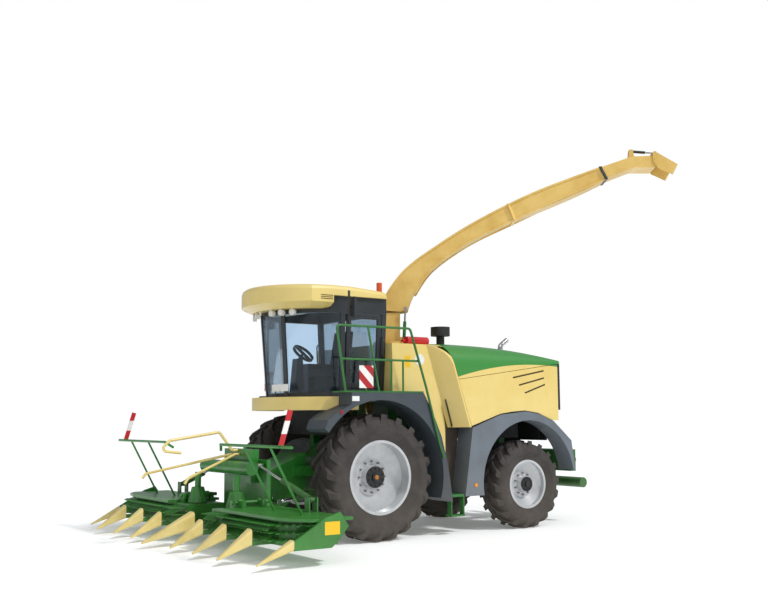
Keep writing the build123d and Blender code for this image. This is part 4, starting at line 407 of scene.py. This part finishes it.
# Lamps: moulded polycarbonate lenses on sealed housings, screwed under the visor, on the roof and at the rear.
# The work lamps are clear, the beacons amber-red and the tail lamps red; one finish is tinted by place.
def overlay(material, low, high, colour, along=None):
    """Paints the share of a piece inside a box; with a direction given, every second band of that length's
    inverse is painted: fract(point . along) > 1/2."""
    tree = material.node_tree
    skin = next(node for node in tree.nodes if node.type == "BSDF_PRINCIPLED")
    under = skin.inputs["Base Color"].links[0].from_socket
    place = add(tree, "TexCoord")
    axes = add(tree, "SeparateXYZ", {}, {"Vector": (place, "Object")})
    masks = [add(tree, "Math", {"operation": "COMPARE", 1: (a + b) / 2, 2: (b - a) / 2}, {0: (axes, axis)})
             for axis, a, b in zip("XYZ", low, high)]
    if along is not None:
        run = add(tree, "VectorMath", {"operation": "DOT_PRODUCT", 1: along}, {0: (place, "Object")})
        turn = add(tree, "Math", {"operation": "FRACT"}, {0: (run, "Value")})
        masks.append(add(tree, "Math", {"operation": "GREATER_THAN", 1: 0.5}, {0: (turn, "Value")}))
    inside = masks[0]
    for mask in masks[1:]:
        inside = add(tree, "Math", {"operation": "MULTIPLY"}, {0: (inside, "Value"), 1: (mask, "Value")})
    mixed = add(tree, "MixRGB", {"Color2": linear(colour)},
                {"Fac": (inside, "Value"), "Color1": (under.node, under.name)})
    tree.links.new(mixed.outputs["Color"], skin.inputs["Base Color"])


far = 9  # beyond the machine on every side
beacon_foot, tail_x, tail_top = 3.7, -3, 3
lens_clear = coated("polycarbonate lens", "#E8E6E0", "#D8D4C8",  # bright and smooth, with a hard highlight
                    rough=0.15, cloud=0.05, coat=0.6)
overlay(lens_clear, (-far, -far, beacon_foot), (far, far, far), "#D9541E")
overlay(lens_clear, (-far, -far, 0), (tail_x, far, tail_top), "#B3161A")
dress(lens_clear, "lamps")

# Access platform and rear fenders: steel tube, bent and welded to a folded deck, ladder and rails.
# The fenders are moulded arches, bolted to the frame over the steered wheels.
rail_green = coated("green enamel tube", "#2C722E", "#225F25",  # clean green with a line of light on each tube
                    rough=0.4, cloud=0.3, coat=0.25)
dress(rail_green, "access_platform")
steel_grey = coated("grey polyethylene", "#6B737C", "#5F666E",  # cool grey, waxy and dusty at the foot
                    rough=0.45, cloud=0.5, coat=0.1, low=0.3)
dress(steel_grey, "rear_fenders")

# Front fenders: moulded arches over the drive wheels, flat on top where the platform stands on them.
# The rear leg runs down behind the tyre; only the left arch has a narrow front leg, as no right one shows.
slate = coated("slate polyethylene", "#434B52", "#394047",  # dark blue-grey with almost no shine
               rough=0.5, cloud=0.5, coat=0.05, low=0.3)
arch_line = np.array([(1.01, 1.70), (0.963, 1.834), (0.785, 1.951), (0.556, 2.063), (0.546, 2.244), (-0.80, 2.244),
                      (-0.98, 1.919), (-1.142, 1.565), (-1.249, 1.167), (-1.30, 0.90), (-1.352, 0.53)])
arch_r, axle_z, arch_wall, arch_y = 1.17, 0.963, 0.02, (0.925, 1.48)
leg_points = 3  # the first points of the line are the front leg's


def fender_shell(side, line):
    """A rectangle from the arch's radius out to the line, carried round the axle from the line's first point."""
    step = np.linspace(0, 1, 9)[:-1, None, None]
    dense = (line[:-1] + step * np.diff(line, axis=0)).transpose(1, 0, 2).reshape(-1, 2)
    dense = np.concatenate([dense, line[-1:]]) - (0, axle_z)
    away = np.linalg.norm(dense, axis=1, keepdims=True)
    inner = dense / away * np.minimum(arch_r, away - arch_wall)
    ring = np.stack([inner, dense, dense, inner], 1)
    width = np.broadcast_to(np.repeat(arch_y, 2) * side, ring.shape[:2])
    grid = np.stack([ring[..., 0], width, ring[..., 1] + axle_z], -1) + front
    corners, faces = shell(grid, wrap_columns=True)
    last = len(corners)
    return corners, faces + [(0, 1, 2, 3), (last - 1, last - 2, last - 3, last - 4)]


arches = [fender_shell(1, arch_line), fender_shell(-1, arch_line[leg_points:])]
fenders = piece("fender_skins", arches, slate, "chassis")
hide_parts("front_fenders")

# Bay shade: flat black sheets across the bay under the cab and behind the rear wheels, painted shade that closes the
# view through.
# Shrouds of the tanks' own plastic rise from their tops to the foot of the side panels; their dark brown is partly
# painted shade of the recess there.
painted_bay_shade = coated("black lining sheet", "#191A1B", "#232425",  # a flat black that closes the view through
                rough=0.7, cloud=0.4, coat=0.0)
sheet_thick = 0.01
sheets = []
for x, half, low, high in ((0.30, 0.85, 1.60, 2.19), (-3.66, 1.04, 1.48, 2.10), (-3.66, 0.55, 1.20, 1.48)):
    sheets.append(box(front + (x, -half, low), front + (x + sheet_thick, half, high)))
piece("bay_shade_sheets", sheets, painted_bay_shade, "chassis")
shroud_x, shroud_y, shroud_z = (-1.80, -1.53), (0.62, 1.055), (1.475, 1.72)
shroud_shade = both_sides(front + (shroud_x[0], shroud_y[0], shroud_z[0]),
                     front + (shroud_x[1], shroud_y[1], shroud_z[1]))
piece("tank_shroud_shade", shroud_shade, tank_brown, "chassis")

# Warning boards: flat sheets with slanted red and white retroreflective film, on stays of flat steel.
# The left one lies in the railing's plane, clear of the door; the right one faces forward.
bands = 3.6  # repeats of one red and one white band in a metre along an axis
board_sheet = coated("retroreflective sheeting", "#EDEBE6", "#E2E0DA",  # a bright, slightly glazed film
                     rough=0.4, cloud=0.2, coat=0.3)
overlay(board_sheet, (-far, -far, 0), (far, far, far), "#B01C22", along=(bands, bands, -bands))
board_thick, left_y, right_x = 0.008, 1.478, 0.446
left_x, left_z, right_y, right_z = (0.162, 0.415), (2.31, 2.65), (-1.462, -1.155), (2.33, 2.66)
boards = [box(front + (left_x[0], left_y, left_z[0]), front + (left_x[1], left_y + board_thick, left_z[1])),
          box(front + (right_x, right_y[0], right_z[0]), front + (right_x + board_thick, right_y[1], right_z[1]))]
piece("warning_boards", boards, board_sheet, "chassis")
left_stay, left_deep, right_stay, right_deep = (0.275, 0.300), 0.012, (-1.33, -1.30), 0.010
left_run, right_run = (2.25, 2.62), (2.26, 2.63)
stays = [box(front + (left_stay[0], left_y - left_deep, left_run[0]), front + (left_stay[1], left_y, left_run[1])),
         box(front + (right_x - right_deep, right_stay[0], right_run[0]),
             front + (right_x, right_stay[1], right_run[1]))]
piece("board_stays", stays, rail_green, "chassis")

# Reflectors and markers: round studs moulded in amber and red, pressed into the fenders' outer faces.
# A small white marker is screwed on near the front of each front fender.
amber = coated("amber reflector", "#D98A12", "#C47A0C",  # warm and glassy under a thick, clear coat
               rough=0.2, cloud=0.05, coat=0.6)
red_stud = coated("red reflector", "#8E1A2A", "#7A1524",  # deep red and as glassy as the amber
                  rough=0.2, cloud=0.05, coat=0.6)
stud_proud = (0, 0.010, 0)
for name, material, spot, radius, sides in (
    ("amber_studs", amber, (-1.879, 1.419, 0.771), 0.034, (1, -1)),
    ("red_stud", red_stud, (0.730, 1.479, 1.950), 0.032, (1,)),
):
    line = np.array([front + spot, front + spot + stud_proud])
    piece(name, [swept(line * (1, side, 1), circle(radius, 20)) for side in sides], material, "chassis")
marker_x, marker_y, marker_z = (0.42, 0.545), (1.479, 1.492), (2.114, 2.188)
markers = both_sides(front + (marker_x[0], marker_y[0], marker_z[0]),
                     front + (marker_x[1], marker_y[1], marker_z[1]))
piece("front_markers", markers, plate_white, "chassis")

# Hood and side panels: glass-fibre panels laid up behind a yellow gelcoat, hung on hinges and catches.
# The hood is sprayed leaf green above a bowed line: height + bow * (distance from its crest)^2 > crest.
dress(yellow, "side_panels")
crest_x, crest_z, split_bow = -3.25, 2.750, 0.0821
two_tone = coated("two-tone gelcoat", "#E9D183", "#E2C670",  # an even gloss with a sharp line between the shades
                  rough=0.32, cloud=0.9, coat=0.35, low=0.1)
tones = two_tone.node_tree
paint = next(node for node in tones.nodes if node.type == "BSDF_PRINCIPLED")
ground_coat = paint.inputs["Base Color"].links[0].from_socket
where = add(tones, "TexCoord")
spot = add(tones, "SeparateXYZ", {}, {"Vector": (where, "Object")})
back = add(tones, "Math", {"operation": "ADD", 1: -crest_x - float(front[0])}, {0: (spot, "X")})
away = add(tones, "Math", {"operation": "ABSOLUTE"}, {0: (back, "Value")})
bow = add(tones, "Math", {"operation": "POWER", 1: 2.0}, {0: (away, "Value")})
rise = add(tones, "Math", {"operation": "MULTIPLY_ADD", 1: split_bow}, {0: (bow, "Value"), 2: (spot, "Z")})
over = add(tones, "Math", {"operation": "GREATER_THAN", 1: crest_z}, {0: (rise, "Value")})
leaf_coat = add(tones, "MixRGB", {"Color2": linear("#3A8A3B")},
                {"Fac": (over, "Value"), "Color1": (ground_coat.node, ground_coat.name)})
tones.links.new(leaf_coat.outputs["Color"], paint.inputs["Base Color"])
dress(two_tone, "hood_top", "hood_side_left", "hood_side_right")

# Hood vents: three slanted slots moulded into each lid, one above the other, that grow longer upwards.
# They are drawn as dark strips of painted shade, the shade inside the slots, on the lid's face and lift with it.
vents = (((-2.75, 2.523), (-3.45, 2.652)), ((-2.874, 2.397), (-3.456, 2.528)), ((-3.014, 2.268), (-3.475, 2.417)))
vent_y, vent_proud, vent_high = 1.4005, 0.003, 0.026
for hand, side in hands:
    ends = [front + np.array([(x, side * vent_y, z) for x, z in vent]) for vent in vents]
    strips = [swept(line, oblong(vent_proud, vent_high)) for line in ends]
    piece(f"hood_vent_shade_{hand}", strips, slot_shade, f"hood_{hand}")

# Panel handles: steel rod, bent to a long bow and painted black like the hubs.
# One is screwed to each flared side panel, behind the ladder.
pull_r = 0.013
pull = front + np.array([(-1.455, 1.185, 2.15), (-1.440, 1.215, 2.13), (-1.545, 1.230, 1.74), (-1.575, 1.195, 1.72)])
pulls = [swept(pull * (1, side, 1), circle(pull_r, 10), up=(0, 1, 0)) for side in (1, -1)]
piece("panel_handles", pulls, hub_black, "chassis", smooth=True)

# Labels: self-adhesive film on the side panels, a white disc and an amber oblong, both blank.
# The film is drawn 3 mm proud, which is thicker than it is, so that it stays clear of the panel.
label_proud, disc_r = 0.003, 0.092
disc = front + np.array([(-0.975, 1.139, 2.790), (-0.975, 1.139 + label_proud, 2.790)])
discs = [swept(disc * (1, side, 1), circle(disc_r, 32)) for side in (1, -1)]
piece("blank_round_labels", discs, plate_white, "chassis")
film = coated("amber label film", "#F1C21A", "#E8B60F",  # strong yellow with a thin plastic shine
              rough=0.45, cloud=0.1, coat=0.2)
tag_x, tag_y, tag_z = (-0.79, -0.68), (1.139, 1.139 + label_proud), (2.66, 2.85)
tags = both_sides(front + (tag_x[0], tag_y[0], tag_z[0]), front + (tag_x[1], tag_y[1], tag_z[1]))
piece("blank_warning_labels", tags, film, "chassis")

# Rear grille and the air intake's pre-cleaner: injection-moulded plastic with a fine grain.
# The grille closes the hood's rear end; the pre-cleaner is clamped on its pipe above the hood.
black_plastic = coated("black moulded plastic", "#1E1F20", "#292A2B",  # matt black, greyed by its grain
                       rough=0.55, cloud=0.2, coat=0.05)
dress(black_plastic, "air_intake", "rear_grille")

# Fire extinguisher: a drawn steel bottle with a screwed-in valve, sprayed in signal red.
# It lies in its holder behind the cab.
signal_red = coated("signal red enamel", "#CE1A20", "#B5141A",  # a pure red under a wet gloss
                    rough=0.28, cloud=0.2, coat=0.45)
dress(signal_red, "fire_extinguisher")

# Spout: a long duct folded and welded from sheet steel, on a turntable behind the cab.
# Hems run along its corners, bolted collars join its lengths, and the flap's cylinder lies on top.
gold = coated("golden yellow enamel", "#E8C470", "#D5AC52",  # warm yellow, clouded where the crop has scuffed it
              rough=0.38, cloud=0.45, coat=0.2)
dress(gold, "spout_base", "spout_arm", "spout_flap")
dress(post_black, "flap_barrel")


def curve(knots, count):
    """A smooth line through the knots: cubic pieces whose slopes are the knots' mean differences by length."""
    knots = np.asarray(knots, float)
    length = np.concatenate([[0], np.cumsum(np.linalg.norm(np.diff(knots, axis=0), axis=1))])
    slope = np.stack([np.gradient(knots[:, axis], length) for axis in range(knots.shape[1])], -1)
    at = np.linspace(0, length[-1], count)
    i = np.clip(np.searchsorted(length, at, side="right") - 1, 0, len(knots) - 2)
    gap = (length[i + 1] - length[i])[:, None]
    t = ((at - length[i])[:, None]) / gap
    return ((2 * t ** 3 - 3 * t ** 2 + 1) * knots[i] + (t ** 3 - 2 * t ** 2 + t) * gap * slope[i]
            + (3 * t ** 2 - 2 * t ** 3) * knots[i + 1] + (t ** 3 - t ** 2) * gap * slope[i + 1])


spout_swing, spout_half = radians(35.5), 0.224
tower = front + (-1.2, 0, 0)
outward = np.array((sin(spout_swing), cos(spout_swing), 0))


def on_spout(line, off):
    """Points (along, height) of the spout's upright plane, moved sideways by off."""
    line = np.asarray(line, float)
    flat = np.stack([-line[:, 0] * cos(spout_swing), line[:, 0] * sin(spout_swing), line[:, 1]], -1)
    return tower + flat + off * outward


spout_steps = 60
top_line = curve([(-0.117, 3.878), (0.211, 4.324), (0.868, 4.822), (2.256, 5.594), (3.800, 6.192)], spout_steps)
low_line = curve([(0.361, 3.857), (0.691, 4.354), (1.211, 4.757), (2.249, 5.279), (3.813, 5.975)], spout_steps)
hem_out, hem_thick, hem_high, hem_inset = 0.004, 0.018, 0.032, 2
hems = [swept(on_spout(line[hem_inset:-hem_inset], side * (spout_half + hem_out)), oblong(hem_thick, hem_high))
        for line in (top_line, low_line) for side in (1, -1)]
piece("spout_hems", hems, gold, "spout")
collar_wide, side_out, side_thick, cross_over, cross_proud, cross_thick = 0.05, 0.010, 0.024, 0.02, 0.008, 0.02
for name, share, material in (("spout_collar_middle", 0.60, gold), ("spout_collar_end", 0.975, post_black)):
    station = int(share * (spout_steps - 1))
    high, slope = top_line[station], np.gradient(top_line, axis=0)[station]
    low = low_line[np.argmin(np.abs((low_line - high) @ slope))]
    bars = [swept(on_spout([low, high], side * (spout_half + side_out)), oblong(side_thick, collar_wide),
                  up=(1, 0, 0)) for side in (1, -1)]
    for point, push in ((high, cross_proud), (low, -cross_proud)):
        ends = np.concatenate([on_spout([point], side * (spout_half + cross_over)) for side in (-1, 1)])
        bars.append(swept(ends + (0, 0, push), oblong(collar_wide, cross_thick)))
    piece(name, bars, material, "spout")

# Header: a frame and two wings welded from tube and plate, painted green and hinged so that the wings fold up.
# Each wing's outer panel carries a blank yellow label, and its marker stick is banded in red and white.
header_green = coated("green enamel", "#267F28", "#185E1C",  # fresh green, clouded and dusty near the ground
                      rough=0.38, cloud=0.35, coat=0.25, low=0.3)
dress(header_green, "header_frame", "feeder_house", "cone_left", "cone_right")
wing_green = coated("green enamel, labelled", "#2A842A", "#1F6C22",  # the same green, less worn on the covers
                    rough=0.38, cloud=0.5, coat=0.25, low=0.25)
label_x, label_y, label_z = float(front[0]) + np.array((1.779, 2.002)), (3.09, 3.2), (0.398, 0.562)
for inner, outer in (label_y, (-label_y[1], -label_y[0])):
    overlay(wing_green, (label_x[0], inner, label_z[0]), (label_x[1], outer, label_z[1]), "#F0C010")
stick_foot, stick_bands = 1.525, 3.0
overlay(wing_green, (-far, -far, stick_foot), (far, far, far), "#F0EEEA")
overlay(wing_green, (-far, -far, stick_foot), (far, far, far), "#C3202A", along=(0, 0, stick_bands))
dress(wing_green, "wing_left", "wing_right")

# Cone ribs: round bars welded up the flanks of each feed cone, which pull the crop in as the cone turns.
# Twelve stand on each cone, and each is raked a little round it.
rib_count, rib_r, rib_rake = 12, 0.008, 0.35
cone_x, cone_y, cone_z, cone_high, cone_foot, cone_taper = 2.035, 0.67, 0.575, 0.225, 0.150, 0.062
for hand, side in hands:
    rise = np.linspace(0, 1, 9)
    flank = cone_foot - cone_taper * rise
    ribs = []
    for turn in np.arange(rib_count) * 2 * pi / rib_count:
        angle = turn + side * rib_rake * rise
        path = np.stack([cone_x + flank * np.cos(angle), side * cone_y + flank * np.sin(angle),
                         cone_z + cone_high * rise], -1)
        ribs.append(swept(front + path, circle(rib_r, 6), up=(1, 0, 0)))
    piece(f"cone_ribs_{hand}", ribs, header_green, f"cone_{hand}")

# Collector tines: forged steel fingers, bolted in two rows to the bands that run under each cover.
# They are painted with the header and lean outwards.
lean, tine_wide, tine_thick = 0.09, 0.016, 0.010
for body, side, first, last, count in (
    ("wing_left", 1, 0.98, 2.40, 30),
    ("wing_right", -1, 0.98, 2.40, 30),
    ("header", 1, 0.47, 0.84, 8),
    ("header", -1, 0.47, 0.84, 8),
):
    rows = (((2.29, 0.0, 0.525), (2.50, side * lean, 0.43)), ((2.31, 0.02, 0.40), (2.51, side * lean, 0.315)))
    fingers = [swept(front + (0, y, 0) + np.array(row), oblong(tine_wide, tine_thick))
               for y in side * np.linspace(first, last, count) for row in rows]
    piece(f"tines_{body}_{'left' if side > 0 else 'right'}", fingers, header_green, body)

# Dividers and guide tubes: hollow snouts moulded in pale yellow plastic, bolted to the front of the header.
# The guides over the middle are bent steel tube, painted in the same shade.
divider = coated("pale yellow polyethylene", "#EDD88E", "#E3C974",  # soft, pale yellow with a waxy shine
                 rough=0.4, cloud=0.4, coat=0.15, low=0.2)
dress(divider, "centre_guides", "dividers_left", "dividers_right")

# Stage: a plain white floor that glows a little, under a high sun, a weak fill and a soft white sky.
# The camera stands where the photograph's stood, with the lens and turns that were fitted to it.
floor_half, floor_glow = 60.0, 0.15
floor_paint = coated("floor", "#FFFFFF", "#FDFDFD",  # flat white that runs into the sky and keeps the shadows
                     rough=0.9, cloud=3.0, coat=0.0)
floor_skin = next(node for node in floor_paint.node_tree.nodes if node.type == "BSDF_PRINCIPLED")
floor_skin.inputs["Emission Color"].default_value = linear("#FFFFFF")
floor_skin.inputs["Emission Strength"].default_value = floor_glow
span = [-floor_half, floor_half]
corners, quads = shell(np.stack(np.meshgrid(span, span, [0.0], indexing="ij"), -1)[:, :, 0])
ground = bpy.data.meshes.new("floor")
ground.from_pydata(corners.tolist(), [], quads)
ground.materials.append(floor_paint)
floor = bpy.data.objects.new("floor", ground)
bpy.context.collection.objects.link(floor)

world = bpy.data.worlds.new("studio")
bpy.context.scene.world = world
world.use_nodes = True
sky = world.node_tree
sky.nodes.clear()
seen = add(sky, "LightPath")
soft = add(sky, "Background", {"Color": linear("#EEF2F6"), "Strength": 0.45})
white = add(sky, "Background", {"Color": linear("#FFFFFF"), "Strength": 1.0})
pick = add(sky, "MixShader", {}, {"Fac": (seen, "Is Camera Ray"), 1: (soft, "Background"), 2: (white, "Background")})
add(sky, "OutputWorld", {}, {"Surface": (pick, "Shader")})
for name, tilt, heading, power, size in (("key", 41, 207, 2.0, 0.12), ("fill", 51, 140, 0.4, 0.5)):
    light = bpy.data.lights.new(name, "SUN")
    light.energy = power
    light.angle = size
    lamp = bpy.data.objects.new(name, light)
    lamp.rotation_euler = (radians(tilt), 0, radians(heading))
    bpy.context.collection.objects.link(lamp)

lens = bpy.data.cameras.new("camera")
lens.sensor_width = 36.0
lens.lens = 47.18
lens.clip_end = 300.0
camera = bpy.data.objects.new("camera", lens)
yaw, pitch, roll, stand = -2.1769, 0.1139, -0.0058, (8.745, 14.163, 1.880)
heading = Euler((0, 0, yaw - pi / 2)).to_matrix()
tilt = Euler((pi / 2 + pitch, 0, 0)).to_matrix()
camera.matrix_world = (heading @ tilt @ Euler((0, 0, roll)).to_matrix()).to_4x4()
camera.location = front + stand
bpy.context.collection.objects.link(camera)
bpy.context.scene.camera = camera
bpy.context.scene.view_settings.view_transform = "Standard"
